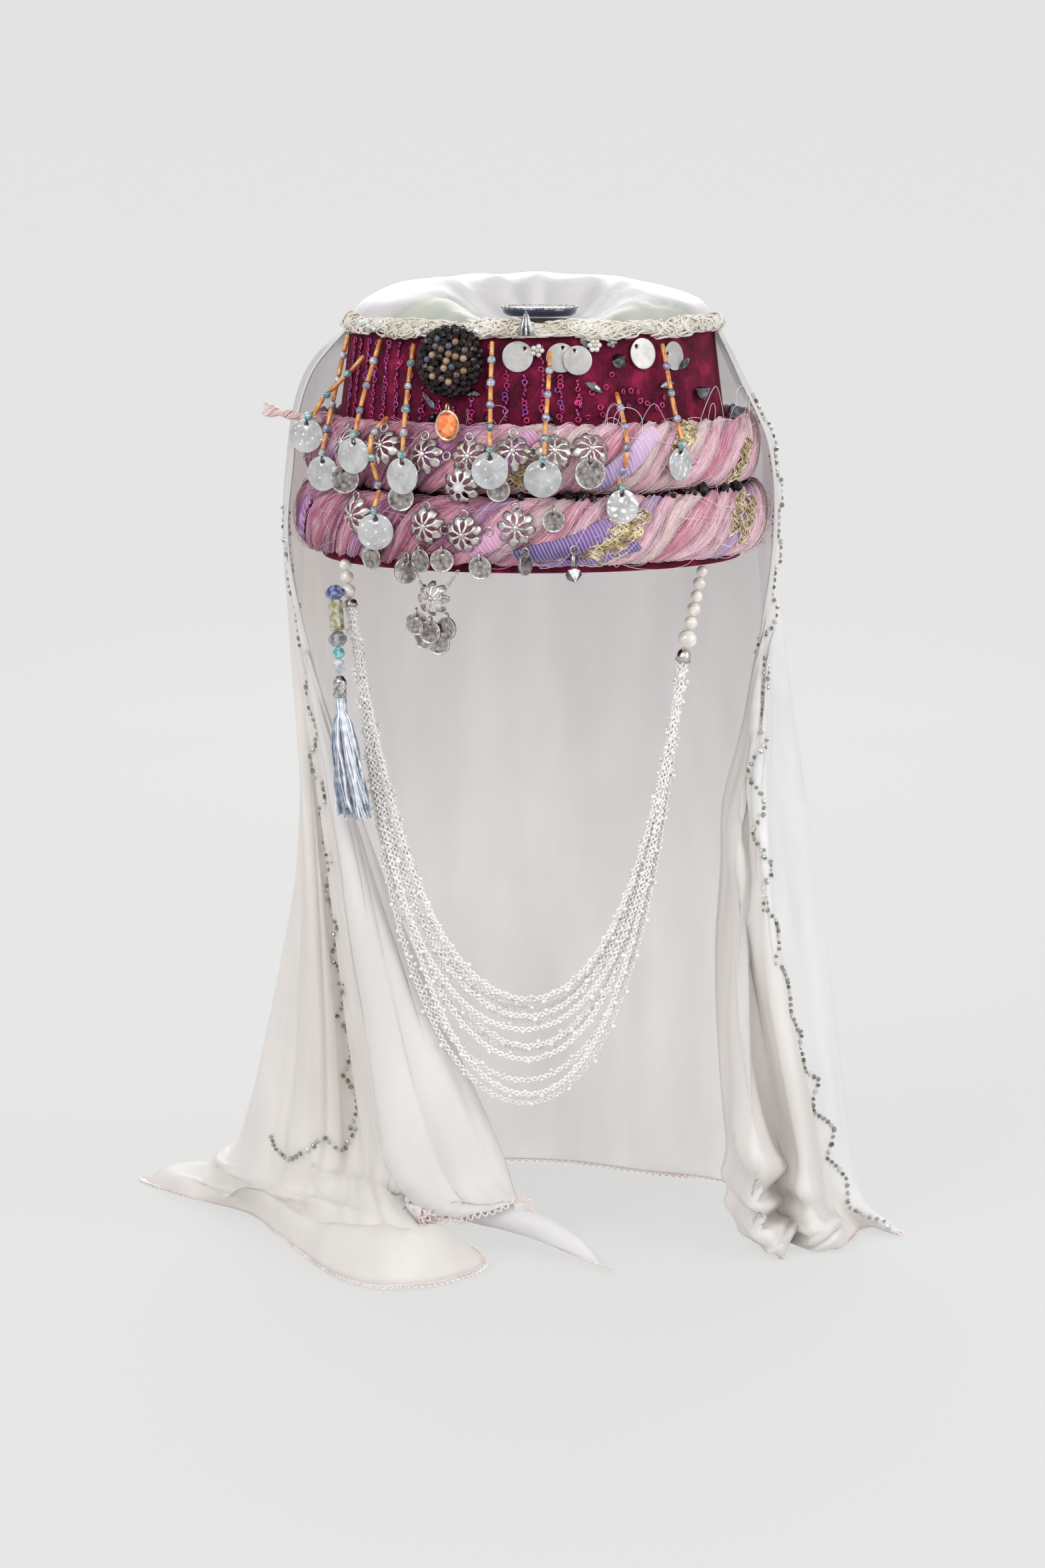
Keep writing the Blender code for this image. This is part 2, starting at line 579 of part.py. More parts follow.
def brooch_drop(pile):
    """An oval faceted stone in its rim, with the bail that reaches up to the brooch."""
    levels = [(0.45, -1.0), (0.95, -0.35), (1.06, -0.2), (1.06, 0.2), (0.95, 0.35), (0.6, 1.0)]
    sides = 12
    angle = np.arange(sides) * 2 * math.pi / sides
    rings = [
        np.stack(
            [r * DROP["half_width"] * np.cos(angle), r * DROP["half_height"] * np.sin(angle),
             h * DROP["half_thick"] + 0 * angle], axis=1)
        for r, h in levels
    ]
    faces = ring_faces(len(levels), sides) + [tuple(range(sides))[::-1]]
    faces.append(tuple(range((len(levels) - 1) * sides, len(levels) * sides)))
    stone = placed(np.concatenate(rings), DROP["azimuth"], DROP["z"], 0.0)
    bail_path = [(0, DROP["half_height"] * f, 0) for f in (0.9, 1.15, 1.38)]
    bail_local, bail_faces = sweep(bail_path, [0.7 * MM] * 3, 6, across=(0, 0, 1))
    bail = placed(bail_local, DROP["azimuth"], DROP["z"], 0.0)
    offset = len(stone)
    both = np.concatenate([stone, bail])
    all_faces = faces + [tuple(i + offset for i in face) for face in bail_faces]
    both = pile.seated(both, all_faces, outward(DROP["azimuth"]))
    obj = add_mesh("brooch_drop", both[:offset], faces, AMBER)
    join_solids(obj, [add_mesh("bail", both[offset:], bail_faces, AMBER)])
    pile.add(obj)


def string_path(pile, top, bottom, coin_top):
    """A taut line from the crown to the coin, held off whatever lies under it."""
    count = 7
    share = np.linspace(0, 1, count)
    azimuth = top[0] + (bottom[0] - top[0]) * share
    z = top[1] * MM + (coin_top[2] - top[1] * MM) * share
    probe = np.array([[x, y, 0.0] for x in (-1.6 * MM, 1.6 * MM) for y in (-2.2 * MM, 2.2 * MM)])
    reach = []
    for place, height in zip(azimuth, z):
        patch = placed(probe, place, height)
        seated = pile.seated(patch, [(0, 1, 3, 2)], outward(place))
        reach.append((seated.mean(axis=0) - on_oval(place, height)) @ np.array(outward(place)))
    wall = on_oval(bottom[0], coin_top[2])
    end = (coin_top - wall) @ np.array(outward(bottom[0]))
    lift = np.maximum(np.array(reach) + STRING_RADIUS, np.linspace(reach[0] + STRING_RADIUS, end, count))
    lift[-1] = end
    path = [on_oval(a, h) + np.array(outward(a)) * r for a, h, r in zip(azimuth, z, lift)]
    path[-1] = coin_top
    return np.array(path)


def bead_strings(pile):
    """Each string is a tube down to its coin, and the coin is fused to its end."""
    for number, (top_azimuth, top_z, azimuth, z, turn, radius) in enumerate(STRINGS, 1):
        local, faces = disc(radius * MM, COIN_THICK, 14)
        points = placed(local, azimuth, z * MM, 0.0, turn)
        points = pile.seated(points, faces, outward(azimuth), 2.2 * GAP)
        coin = add_mesh(f"bead_string_{number}", points, faces, SILVER)
        centre = points.mean(axis=0)
        path = string_path(pile, (top_azimuth, top_z), (azimuth, z), centre + (0, 0, 0.98 * radius * MM))
        path = np.concatenate([path, [centre + (0, 0, 0.72 * radius * MM)]])
        radii = [STRING_RADIUS] * (len(path) - 2) + [0.6 * MM, 0.6 * MM]
        tube_points, tube_faces = sweep(path, radii, 8)
        tube = add_mesh(f"string_tube_{number}", tube_points, tube_faces, BUGLE)
        pile.add(coin)
        pile.add(tube)
        join_solids(coin, [tube])


def yarn_tuft(pile):
    """The loose yarn end: a bushy taper that points out to the left."""
    path = np.array([(-87, -38, 63), (-92, -38, 64), (-98, -38, 65), (-104, -38, 66), (-111, -38, 67)]) * MM
    points, faces = sweep(path, np.array([2.2, 2.6, 2.0, 2.8, 1.6]) * MM, 8)
    return add_mesh("yarn_tuft", pile.seated(points, faces, (0, 0, 1)), faces, YARN)


def medallion(pile):
    """The hanging dome with its two chains up to the lower roll, and its cluster of coins."""
    azimuth = MEDALLION["azimuth"]
    local, faces = flower_dome()
    points = placed(local * MEDALLION["size_share"], azimuth, MEDALLION["z"], 0.0, stand_off=12 * MM)
    centre = points.mean(axis=0)
    dome = add_mesh("medallion", points, faces, NICKEL)
    chains = []
    for side, reach in (("left", -8.0), ("right", 11.0)):
        slide = np.array(outward(azimuth + 90))
        top = centre + slide * reach * MM + np.array([0, 0, 11.0 * MM])
        low = centre + slide * reach * 0.25 * MM
        path = np.linspace(low, top, 5)
        chain_points, chain_faces = sweep(path, [0.8 * MM] * 5, 6)
        chains.append(add_mesh(f"chain_{side}", chain_points, chain_faces, NICKEL))
    join_solids(dome, chains)
    group = [dome] + chains
    samples = [np.array([v.co for v in obj.data.vertices]) for obj in group]
    all_faces, start = [], 0
    for obj, cloud in zip(group, samples):
        all_faces += [tuple(i + start for i in p.vertices) for p in obj.data.polygons]
        start += len(cloud)
    together = np.concatenate(samples)
    shift = pile.seated(together, all_faces, outward(azimuth))[0] - together[0]
    for obj in group:
        obj.data.transform(Matrix.Translation(Vector(shift)))
        pile.add(obj)
    return shift + centre


def medallion_coins(pile, centre):
    """Four coins that overlap like scales, fused where they cross."""
    places = ((-7.0, -10.5, 12), (6.4, -12.0, -10), (-3.4, -16.0, -6), (3.0, -18.0, 8))
    coins = []
    aside = tilted(MEDALLION["azimuth"])[0]
    for number, (right, up, turn) in enumerate(places, 1):
        local, faces = disc(MEDALLION["coin_radius"], COIN_THICK, 14)
        out = tilted(MEDALLION["azimuth"], 0.0, turn)
        points = local @ out + centre + aside * right * MM + (0, 0, up * MM)
        name = "medallion_coins" if number == 1 else f"hanging_coin_{number}"
        coins.append(add_mesh(name, points, faces, NICKEL))
    bar_path = [centre + aside * x * MM + (0, 0, z * MM) for x, z in ((-6.5, -8.0), (0, -7.2), (5.5, -8.0))]
    bar_points, bar_faces = sweep(bar_path, [0.6 * MM] * 3, 6)
    coins.append(add_mesh("coin_bar", bar_points, bar_faces, NICKEL))
    join_solids(coins[0], coins[1:])
    for coin in coins:
        pile.add(coin)


def beads_on(path, beads, sides=10):
    """Points and faces of beads in a row: each bead is (radius, length) along the path's line."""
    start, end = np.array(path[0]), np.array(path[-1])
    direction = (end - start) / np.linalg.norm(end - start)
    places, radii, run = [], [], 0.0
    for radius, length in beads:
        for share, swell in ((0.06, 0.5), (0.5, 1.0), (0.94, 0.5)):
            places.append(start + direction * (run + share * length) * MM)
            radii.append(swell * radius * MM)
        run += length
    return sweep(places, radii, sides)


def strap_pearls(pile):
    left_beads = ((2.6, 5.0), (2.8, 5.6), (3.0, 6.0), (1.6, 3.0))
    right_beads = ((2.4, 4.8), (2.8, 5.4), (2.6, 5.2), (3.0, 5.8), (3.0, 5.8), (4.2, 7.8), (2.6, 5.0))
    rows = (
        ("strap_pearls_left", (-77.0, -51.0, 1.0), (-73.5, -56.0, -26.0), left_beads),
        ("strap_pearls_right", (70.0, -56.0, 0.0), (61.5, -57.0, -40.0), right_beads),
    )
    ends = []
    for name, start, end, beads in rows:
        points, faces = beads_on((np.array(start) * MM, np.array(end) * MM), beads)
        points[:, 2] -= 60 * MM
        points = pile.seated(points, faces, (0, 0, -1))
        pile.add(add_mesh(name, points, faces, PEARL))
        ends.append(points[-1] - (0, 0, 1.5 * GAP))
    return ends


def bead_stack(pile):
    """Glass, brass and turquoise beads on the left strap end, in front of the pearls."""
    beads = ((4.4, 6.0), (3.2, 6.5), (3.2, 6.5), (4.0, 6.5), (2.6, 5.0), (2.2, 6.0))
    points, faces = beads_on(((-81 * MM, -57.5 * MM, 0), (-78.5 * MM, -68 * MM, -36 * MM)), beads)
    points[:, 2] += -60 * MM
    points = pile.seated(points, faces, (0, 0, -1))
    pile.add(add_mesh("bead_stack", points, faces, STACK))
    return points[:-2].reshape(-1, 10, 3).mean(axis=1)[-1]


def tassel(start):
    """A capped head and a flared skirt whose outline is gathered into locks."""
    sides, locks = 16, 8
    levels = np.array(
        [(0.0, 1.2), (0.02, 2.6), (0.09, 2.9), (0.12, 2.2), (0.2, 4.2), (0.45, 6.0), (0.75, 6.6), (1.0, 7.4)]
    )
    share = levels[:, 0:1]
    angle = np.arange(sides)[None, :] * 2 * math.pi / sides
    deep = np.where(share > 0.15, 0.14, 0.0)
    radius = levels[:, 1:2] * MM * (1 + deep * np.cos(locks * angle + 2 * share))
    x = start[0] + TASSEL_LEAN * share**1.6 + radius * np.cos(angle)
    y = start[1] + 0.75 * radius * np.sin(angle)
    z = start[2] - TASSEL_DROP - TASSEL_LENGTH * share + 0 * angle
    points = np.stack([x, y, z], axis=-1).reshape(-1, 3)
    middle = points.reshape(-1, sides, 3).mean(axis=1)
    points = np.concatenate([points, middle[:1], middle[-1:]])
    return add_mesh("tassel", points, capped(len(levels), sides), TASSEL)


def catenary(ends, sag, count):
    """A hanging line between the strap's ends: z falls as the hyperbolic cosine."""
    (x0, y0, z0), (x1, y1, z1) = ends
    half, centre = (x1 - x0) / 2, (x0 + x1) / 2
    low, high = 5 * MM, 400 * MM
    for _ in range(60):
        scale = (low + high) / 2
        drop = scale * (math.cosh(min(half / scale, 50.0)) - 1)
        low, high = (scale, high) if drop > sag else (low, scale)
    reach = scale * math.sinh(half / scale)
    x = scale * np.arcsinh(np.linspace(-reach, reach, count) / scale)
    fall = scale * (math.cosh(half / scale) - np.cosh(x / scale))
    share = (x + half) / (2 * half)
    return np.stack([centre + x, y0 + (y1 - y0) * share, z0 + (z1 - z0) * share - fall], axis=1)


def strap_strands(ends):
    """The bundle of strands: an oval section between the shortest and longest strand."""
    count, sides = 26, 8
    inner, outer = catenary(ends, STRAP_SAG_INNER, count), catenary(ends, STRAP_SAG_OUTER, count)
    least = 3.6 * MM
    middle = (inner + outer) / 2
    across = (outer - inner) / 2
    share = np.linspace(-1, 1, count)[:, None]
    across += least * share**4 * np.where(share < 0, [-1, 0, 0], [1, 0, 0])
    size = np.linalg.norm(across, axis=1, keepdims=True)
    across *= np.maximum(1, least / size)
    angle = np.arange(sides) * 2 * math.pi / sides
    depth = np.array([0, STRAP_DEPTH, 0])
    ring = np.cos(angle)[None, :, None] * across[:, None] + np.sin(angle)[None, :, None] * depth
    points = (middle[:, None] + ring).reshape(-1, 3)
    points = np.concatenate([points, middle[:1], middle[-1:]])
    return add_mesh("strap_strands", points, capped(count, sides), STRAND)


def build():
    clear_scene()
    pile = Pile()
    cap = fez_cap()
    pile.add(cap)
    cloth = veil()
    on_crown = Pile()
    on_crown.add(cap)
    on_crown.add(cloth)
    on_crown.cloud[:, 2] += CLOTH / 2
    crown_disc(on_crown)
    pile.add(crown_lace())
    for name, roll in (("yarn_roll_upper", ROLL_UPPER), ("yarn_roll_lower", ROLL_LOWER)):
        pile.add(yarn_roll(name, roll))
    filigree_domes(pile)
    small_coins(pile)
    bell_bead(pile)
    sequin_discs(pile)
    studs(pile)
    brooch(pile)
    brooch_drop(pile)
    centre = medallion(pile)
    medallion_coins(pile, centre)
    yarn_tuft(pile)
    bead_strings(pile)
    ends = strap_pearls(pile)
    tassel(bead_stack(pile))
    strap_strands(ends)


build()
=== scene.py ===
"""Looks of a coin fez headdress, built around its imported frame.

Metres, +Z up, the front faces -Y. An azimuth is counted from the front towards +X, in degrees.
The sections follow the headdress as it is put together: cap, veil, rolls, ornaments, strap, tassel.
"""

import math

import bpy
import numpy as np
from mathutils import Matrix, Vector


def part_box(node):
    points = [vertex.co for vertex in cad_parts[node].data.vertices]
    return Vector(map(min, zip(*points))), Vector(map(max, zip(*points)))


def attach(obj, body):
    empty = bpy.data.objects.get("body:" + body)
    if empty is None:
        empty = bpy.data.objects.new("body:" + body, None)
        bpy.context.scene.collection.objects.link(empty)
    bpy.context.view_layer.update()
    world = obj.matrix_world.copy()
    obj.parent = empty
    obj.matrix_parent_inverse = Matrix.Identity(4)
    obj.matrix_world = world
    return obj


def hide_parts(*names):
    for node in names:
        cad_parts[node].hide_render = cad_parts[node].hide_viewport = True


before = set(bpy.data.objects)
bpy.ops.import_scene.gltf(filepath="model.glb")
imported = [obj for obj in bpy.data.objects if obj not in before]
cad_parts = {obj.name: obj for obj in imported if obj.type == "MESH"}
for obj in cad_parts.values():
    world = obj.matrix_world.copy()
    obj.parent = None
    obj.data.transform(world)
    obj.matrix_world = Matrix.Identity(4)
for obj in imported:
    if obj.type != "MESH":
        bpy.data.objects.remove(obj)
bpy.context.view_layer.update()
MM = 0.001

# The camera stands a little higher than the crown, 2.2 m in front of the headdress, with a long lens.
EYE = (-0.004, -2.2, 0.196)
AIM = (-0.004, 0.0, -0.098)
LENS_MM = 120.6
SENSOR_MM = 36.0

camera_data = bpy.data.cameras.new("camera")
camera_data.sensor_fit = "VERTICAL"
camera_data.sensor_height = SENSOR_MM
camera_data.lens = LENS_MM
camera = bpy.data.objects.new("camera", camera_data)
camera.location = EYE
aim_height, aim_reach = AIM[2] - EYE[2], AIM[1] - EYE[1]
camera.rotation_euler = (math.pi / 2 + math.atan2(aim_height, aim_reach), 0.0, 0.0)
bpy.context.scene.collection.objects.link(camera)
bpy.context.scene.camera = camera


# Fez cap: stiff felt covered in wine velvet, lined inside, open below. The velvet is
# gathered into shallow upright tucks on its left two thirds, between rows of sequins.
RIM_A, RIM_B = 88.0 * MM, 94.0 * MM
TAPER = 0.122
FEZ_HEIGHT = 98.0 * MM
FELT = 2.5 * MM
TUCK_STEP, TUCK_DEPTH = 5.2, 0.55 * MM


def outward(azimuth):
    """Level unit normals of the oval: (sin/A, -cos/B) scaled to length one."""
    angle = np.radians(np.asarray(azimuth, float))
    normal = np.stack([np.sin(angle) / RIM_A, -np.cos(angle) / RIM_B, 0 * angle], axis=-1)
    return normal / np.linalg.norm(normal, axis=-1, keepdims=True)


def on_wall(azimuth, z, extra=0.0):
    """Points of the tapered oval: half axes less TAPER times height, plus extra outwards."""
    angle = np.radians(np.asarray(azimuth, float))
    shrink = TAPER * np.asarray(z, float) - extra
    return np.stack(np.broadcast_arrays(
        (RIM_A - shrink) * np.sin(angle), -(RIM_B - shrink) * np.cos(angle), z), axis=-1)


def grid_faces(rows, columns, closed_columns=False, closed_rows=False):
    """Quads of a grid of points; the last column or row joins the first where it is closed."""
    row, column = np.meshgrid(
        np.arange(rows if closed_rows else rows - 1),
        np.arange(columns if closed_columns else columns - 1), indexing="ij")
    row_after, column_after = (row + 1) % rows, (column + 1) % columns
    corners = (row * columns + column, row * columns + column_after,
               row_after * columns + column_after, row_after * columns + column)
    return np.stack(corners, axis=-1).reshape(-1, 4)


def turned_ends(rows, columns):
    """Faces of a grid closed round its columns, with a fan to one extra point at each end."""
    i = np.arange(columns)
    j = (i + 1) % columns
    first = np.stack([j, i, 0 * i + rows * columns], axis=-1)
    last = np.stack([i, j, 0 * i - columns], axis=-1) + (rows - 1) * columns
    last[:, 2] = rows * columns + 1
    return [grid_faces(rows, columns, closed_columns=True), first, last]


def facing_out(points, faces):
    """The same faces, all turned over if the volume that they enclose comes out negative."""
    volume = 0.0
    for part in faces:
        for k in range(1, part.shape[1] - 1):
            a, b, c = points[part[:, 0]], points[part[:, k]], points[part[:, k + 1]]
            volume += np.einsum("ij,ij->", a, np.cross(b, c))
    return faces if volume > 0 else [part[:, ::-1] for part in faces]


def piece(name, points, faces, look, slot, stands_for=(), uv=None, tint=None, smooth=True, closed=True):
    """One object from whole arrays: points (n, 3) and index arrays of faces, ridden; its slot is not used.
    The tint is one colour, or one for each point."""
    points = np.ascontiguousarray(np.asarray(points, float).reshape(-1, 3))
    faces = [np.asarray(part, int) for part in (faces if isinstance(faces, list) else [faces])]
    if closed:
        faces = facing_out(points, faces)
    sizes = np.concatenate([np.full(len(part), part.shape[1]) for part in faces])
    corners = np.concatenate([part.ravel() for part in faces])
    mesh = bpy.data.meshes.new(name)
    mesh.vertices.add(len(points))
    mesh.vertices.foreach_set("co", points.ravel())
    mesh.loops.add(len(corners))
    mesh.loops.foreach_set("vertex_index", corners)
    mesh.polygons.add(len(sizes))
    mesh.polygons.foreach_set("loop_start", np.concatenate([[0], np.cumsum(sizes)[:-1]]))
    mesh.polygons.foreach_set("use_smooth", np.full(len(sizes), smooth))
    mesh.update(calc_edges=True)
    if uv is not None:
        layer = mesh.uv_layers.new(name="along")
        layer.data.foreach_set("uv", np.asarray(uv, float).reshape(-1, 2)[corners].ravel())
    if tint is not None:
        colour = mesh.attributes.new("tint", "FLOAT_COLOR", "POINT")
        rgb = np.broadcast_to(np.asarray(tint, float).reshape(-1, 3), points.shape)
        rgba = np.concatenate([rgb, np.ones((len(points), 1))], axis=1)
        colour.data.foreach_set("color", rgba.ravel())
    made = bpy.data.objects.new(name, mesh)
    made.data.materials.append(look)
    bpy.context.scene.collection.objects.link(made)
    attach(made, "root")
    if stands_for:
        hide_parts(*([stands_for] if isinstance(stands_for, str) else stands_for))
    return made


class Finish:
    """A procedural material: a Principled shader whose sockets take numbers or node chains."""

    def __init__(self, name, colour=(0.8, 0.8, 0.8), **sockets):
        self.look = bpy.data.materials.new(name)
        self.look.use_nodes = True
        self.tree = self.look.node_tree
        self.shader = self.tree.nodes["Principled BSDF"]
        self.shader.inputs["Base Color"].default_value = (*colour, 1.0)
        for socket, value in sockets.items():
            self.shader.inputs[socket.replace("_", " ")].default_value = value
        self.place = self.node("ShaderNodeTexCoord").outputs["Object"]

    def node(self, kind, **settings):
        made = self.tree.nodes.new(kind)
        for key, value in settings.items():
            setattr(made, key, value)
        return made

    def link(self, source, target):
        self.tree.links.new(source, target)
        return self

    def stretched(self, source, scale):
        mapping = self.node("ShaderNodeMapping")
        mapping.inputs["Scale"].default_value = scale
        self.link(source, mapping.inputs["Vector"])
        return mapping.outputs["Vector"]

    def noise(self, scale, detail=3.0, source=None, roughness=0.55):
        made = self.node("ShaderNodeTexNoise")
        made.inputs["Scale"].default_value = scale
        made.inputs["Detail"].default_value = detail
        made.inputs["Roughness"].default_value = roughness
        self.link(source or self.place, made.inputs["Vector"])
        return made.outputs["Fac"]

    def wave(self, scale, source, bands="X", distortion=0.0, detail=1.0):
        made = self.node("ShaderNodeTexWave", bands_direction=bands)
        made.inputs["Scale"].default_value = scale
        made.inputs["Distortion"].default_value = distortion
        made.inputs["Detail"].default_value = detail
        self.link(source, made.inputs["Vector"])
        return made.outputs["Fac"]

    def cells(self, scale, feature="F1", output="Distance", source=None):
        made = self.node("ShaderNodeTexVoronoi", feature=feature)
        made.inputs["Scale"].default_value = scale
        self.link(source or self.place, made.inputs["Vector"])
        return made.outputs[output]

    def ramp(self, source, *stops):
        made = self.node("ShaderNodeValToRGB")
        table = made.color_ramp.elements
        while len(table) < len(stops):
            table.new(0.5)
        for element, (place, colour) in zip(table, stops):
            element.position = place
            element.color = (*colour, 1.0) if np.ndim(colour) else (colour, colour, colour, 1.0)
        self.link(source, made.inputs["Fac"])
        return made.outputs["Color"]

    def mix(self, share, first, second, blend="MIX"):
        made = self.node("ShaderNodeMix", data_type="RGBA", blend_type=blend)
        for socket, value in ((made.inputs[0], share), (made.inputs[6], first), (made.inputs[7], second)):
            if isinstance(value, bpy.types.NodeSocket):
                self.link(value, socket)
            elif np.ndim(value):
                socket.default_value = (*value, 1.0)
            else:
                socket.default_value = value
        return made.outputs[2]

    def tint(self):
        return self.node("ShaderNodeAttribute", attribute_name="tint").outputs["Color"]

    def into(self, socket, source):
        return self.link(source, self.shader.inputs[socket])

    def bump(self, height, strength=0.5, depth=0.3 * MM):
        made = self.node("ShaderNodeBump")
        made.inputs["Strength"].default_value = strength
        made.inputs["Distance"].default_value = depth
        before = self.shader.inputs["Normal"].links
        if before:
            self.link(before[0].from_socket, made.inputs["Normal"])
        self.link(height, made.inputs["Height"])
        return self.into("Normal", made.outputs["Normal"])


velvet = Finish("wine_velvet", Roughness=0.82, Sheen_Weight=0.3, Sheen_Roughness=0.35, Specular_IOR_Level=0.2)
velvet.shader.inputs["Sheen Tint"].default_value = (0.70, 0.08, 0.20, 1.0)
crushed = velvet.ramp(velvet.noise(95.0, 5.0), (0.40, (0.030, 0.001, 0.008)), (0.56, (0.14, 0.004, 0.028)),
                      (0.68, (0.32, 0.014, 0.070)))
short_pile = velvet.ramp(velvet.noise(900.0, 2.0), (0.35, (0.06, 0.001, 0.015)), (0.65, (0.24, 0.010, 0.05)))
velvet.into("Base Color", velvet.mix(0.3, crushed, short_pile))
velvet.bump(velvet.noise(1500.0, 3.0), 0.35, 0.3 * MM).bump(velvet.noise(120.0), 0.25, 1.0 * MM)

CAP_SIDES = 180
cap_azimuth = np.arange(CAP_SIDES) * 360.0 / CAP_SIDES
signed_azimuth = (cap_azimuth + 180.0) % 360.0 - 180.0
tucked = np.clip((16.0 - signed_azimuth) / 8.0, 0, 1) * np.clip((signed_azimuth + 82.0) / 8.0, 0, 1)
tuck = np.abs(np.sin(np.pi * signed_azimuth / TUCK_STEP)) * tucked
# Height, share of the oval and whether it is tucked, for each row of the section: from the crown's
# middle over its edge, down the wall, round the rim and up inside
inner_top, inner_share = FEZ_HEIGHT - FELT, 1 - FELT / RIM_A
CAP_ROWS = [(FEZ_HEIGHT, 0.5, 0), (FEZ_HEIGHT, 0.94, 0), (FEZ_HEIGHT - 0.3 * MM, 0.98, 0)]
CAP_ROWS += [(FEZ_HEIGHT - 2.0 * MM, 1, 0)] + [(z * MM, 1, 1) for z in (90, 80, 70, 60, 50, 35, 20, 8, 3)]
CAP_ROWS += [(0.8 * MM, 1, 0), (0.0, 1 - 0.25 * FELT / RIM_A, 0), (0.0, 1 - 0.8 * FELT / RIM_A, 0)]
CAP_ROWS += [(z, inner_share, 0) for z in (0.8 * MM, inner_top / 2, inner_top)]
cap_points = np.stack([
    on_wall(cap_azimuth, z, -TUCK_DEPTH * tucks * (1 - tuck)) * ([share, share, 1.0] if share < 1 else 1.0)
    for z, share, tucks in CAP_ROWS])
cap_points = np.concatenate([cap_points.reshape(-1, 3), [[0, 0, FEZ_HEIGHT], [0, 0, inner_top]]])
piece("velvet_cap", cap_points, turned_ends(len(CAP_ROWS), CAP_SIDES), velvet.look, "velvet", "fez_cap")


# Embroidery on the velvet: upright rows of magenta sequins and cut tube beads between the
# tucks, sewn on with thread, and a few single ring sequins on the plain right third.
RANDOM = np.random.default_rng(7)


def frames_of(out, up=(0.0, 0.0, 1.0)):
    """Rows right, up and out for each outward direction."""
    out = np.atleast_2d(out) / np.linalg.norm(np.atleast_2d(out), axis=1, keepdims=True)
    right = np.cross(np.broadcast_to(up, out.shape), out)
    right /= np.linalg.norm(right, axis=1, keepdims=True)
    return np.stack([right, np.cross(out, right), out], axis=1)


def spun(frames, angle):
    """Frames turned about their own out direction by an angle each, in radians."""
    c, s = np.cos(angle)[:, None], np.sin(angle)[:, None]
    right = c * frames[:, 0] + s * frames[:, 1]
    up = c * frames[:, 1] - s * frames[:, 0]
    return np.stack([right, up, frames[:, 2]], axis=1)


def copies(points, faces, frames, centres, sizes=1.0):
    """One small shape set at many places: centre + (point times size) in each place's frame."""
    count = len(centres)
    sizes = np.broadcast_to(np.atleast_1d(sizes).reshape(-1, 1) if np.ndim(sizes) < 2 else sizes, (count, 3))
    local = points[None] * sizes[:, None]
    placed = np.einsum("npk,nkc->npc", local, frames) + np.asarray(centres)[:, None]
    shift = (np.arange(count) * len(points))[:, None, None]
    return placed.reshape(-1, 3), [(part[None] + shift).reshape(-1, part.shape[1]) for part in faces]


def each(colours, points_each):
    """One colour for every point of each copy."""
    return np.repeat(np.asarray(colours, float), points_each, axis=0)


def lathe(profile, sides):
    """A turned solid from (radius, height) pairs; its first and last pair lie on the axis."""
    profile = np.asarray(profile, float)
    angle = np.arange(sides) * 2 * np.pi / sides
    ring = np.stack([np.cos(angle), np.sin(angle)], axis=-1)
    inner = profile[1:-1]
    body = np.concatenate([inner[:, 0, None, None] * ring, np.broadcast_to(
        inner[:, 1, None, None], (len(inner), sides, 1))], axis=-1).reshape(-1, 3)
    poles = [[0, 0, profile[0, 1]], [0, 0, profile[-1, 1]]]
    return np.concatenate([body, poles]), turned_ends(len(inner), sides)


def doughnut(radius, wire, around=12, section=5):
    """A ring of wire: radius plus wire times cos, height wire times sin."""
    a, b = np.meshgrid(np.arange(around) * 2 * np.pi / around,
                       np.arange(section) * 2 * np.pi / section, indexing="ij")
    out = radius + wire * np.cos(b)
    points = np.stack([out * np.cos(a), out * np.sin(a), wire * np.sin(b)], axis=-1)
    return points.reshape(-1, 3), [grid_faces(around, section, True, True)]


sequin_look = Finish("sequin_foil", Roughness=0.22, Metallic=0.55, Coat_Weight=0.6)
sequin_look.into("Base Color", sequin_look.mix(0.35, sequin_look.tint(), sequin_look.ramp(
    sequin_look.noise(260.0, 2.0), (0.3, (0.05, 0.0, 0.08)), (0.7, (0.9, 0.1, 0.4)))))

SEQUIN_MAGENTA, SEQUIN_PURPLE, SEQUIN_WINE = (0.62, 0.03, 0.17), (0.30, 0.08, 0.42), (0.22, 0.005, 0.06)
row_azimuths = np.arange(-70.0, 16.0, TUCK_STEP) + TUCK_STEP * 0.02
sequin_azimuth, sequin_z = np.meshgrid(row_azimuths, np.arange(61.0, 92.0, 1.75) * MM, indexing="ij")
sequin_azimuth = (sequin_azimuth + RANDOM.normal(0, 0.32, sequin_azimuth.shape)).ravel()
sequin_z = (sequin_z + RANDOM.normal(0, 0.35 * MM, sequin_z.shape)).ravel()
# Azimuth and height in millimetres of the single ones
loose = np.array([
    (20, 66), (20.6, 63), (29, 66), (17.5, 72), (18, 75), (39, 65), (35.5, 67), (33, 68), (27.5, 72),
    (30, 72.3), (32.4, 71.6), (24, 79), (16, 62), (22, 74), (41, 66), (42, 69), (26, 63), (13, 68)])
sequin_azimuth = np.concatenate([sequin_azimuth, loose[:, 0]])
sequin_z = np.concatenate([sequin_z, loose[:, 1] * MM])
kind = RANDOM.random(len(sequin_z))
kind[-len(loose):] = 0.9
leaning = outward(sequin_azimuth) + RANDOM.normal(0, 0.28, (len(sequin_z), 3))
sequin_frames = spun(frames_of(leaning), RANDOM.uniform(-0.5, 0.5, len(sequin_z)))
sequin_places = on_wall(sequin_azimuth, sequin_z, 0.55 * MM)
sequin_colours = np.where(
    (kind < 0.45)[:, None], SEQUIN_WINE, np.where((kind < 0.62)[:, None], SEQUIN_PURPLE, SEQUIN_MAGENTA))
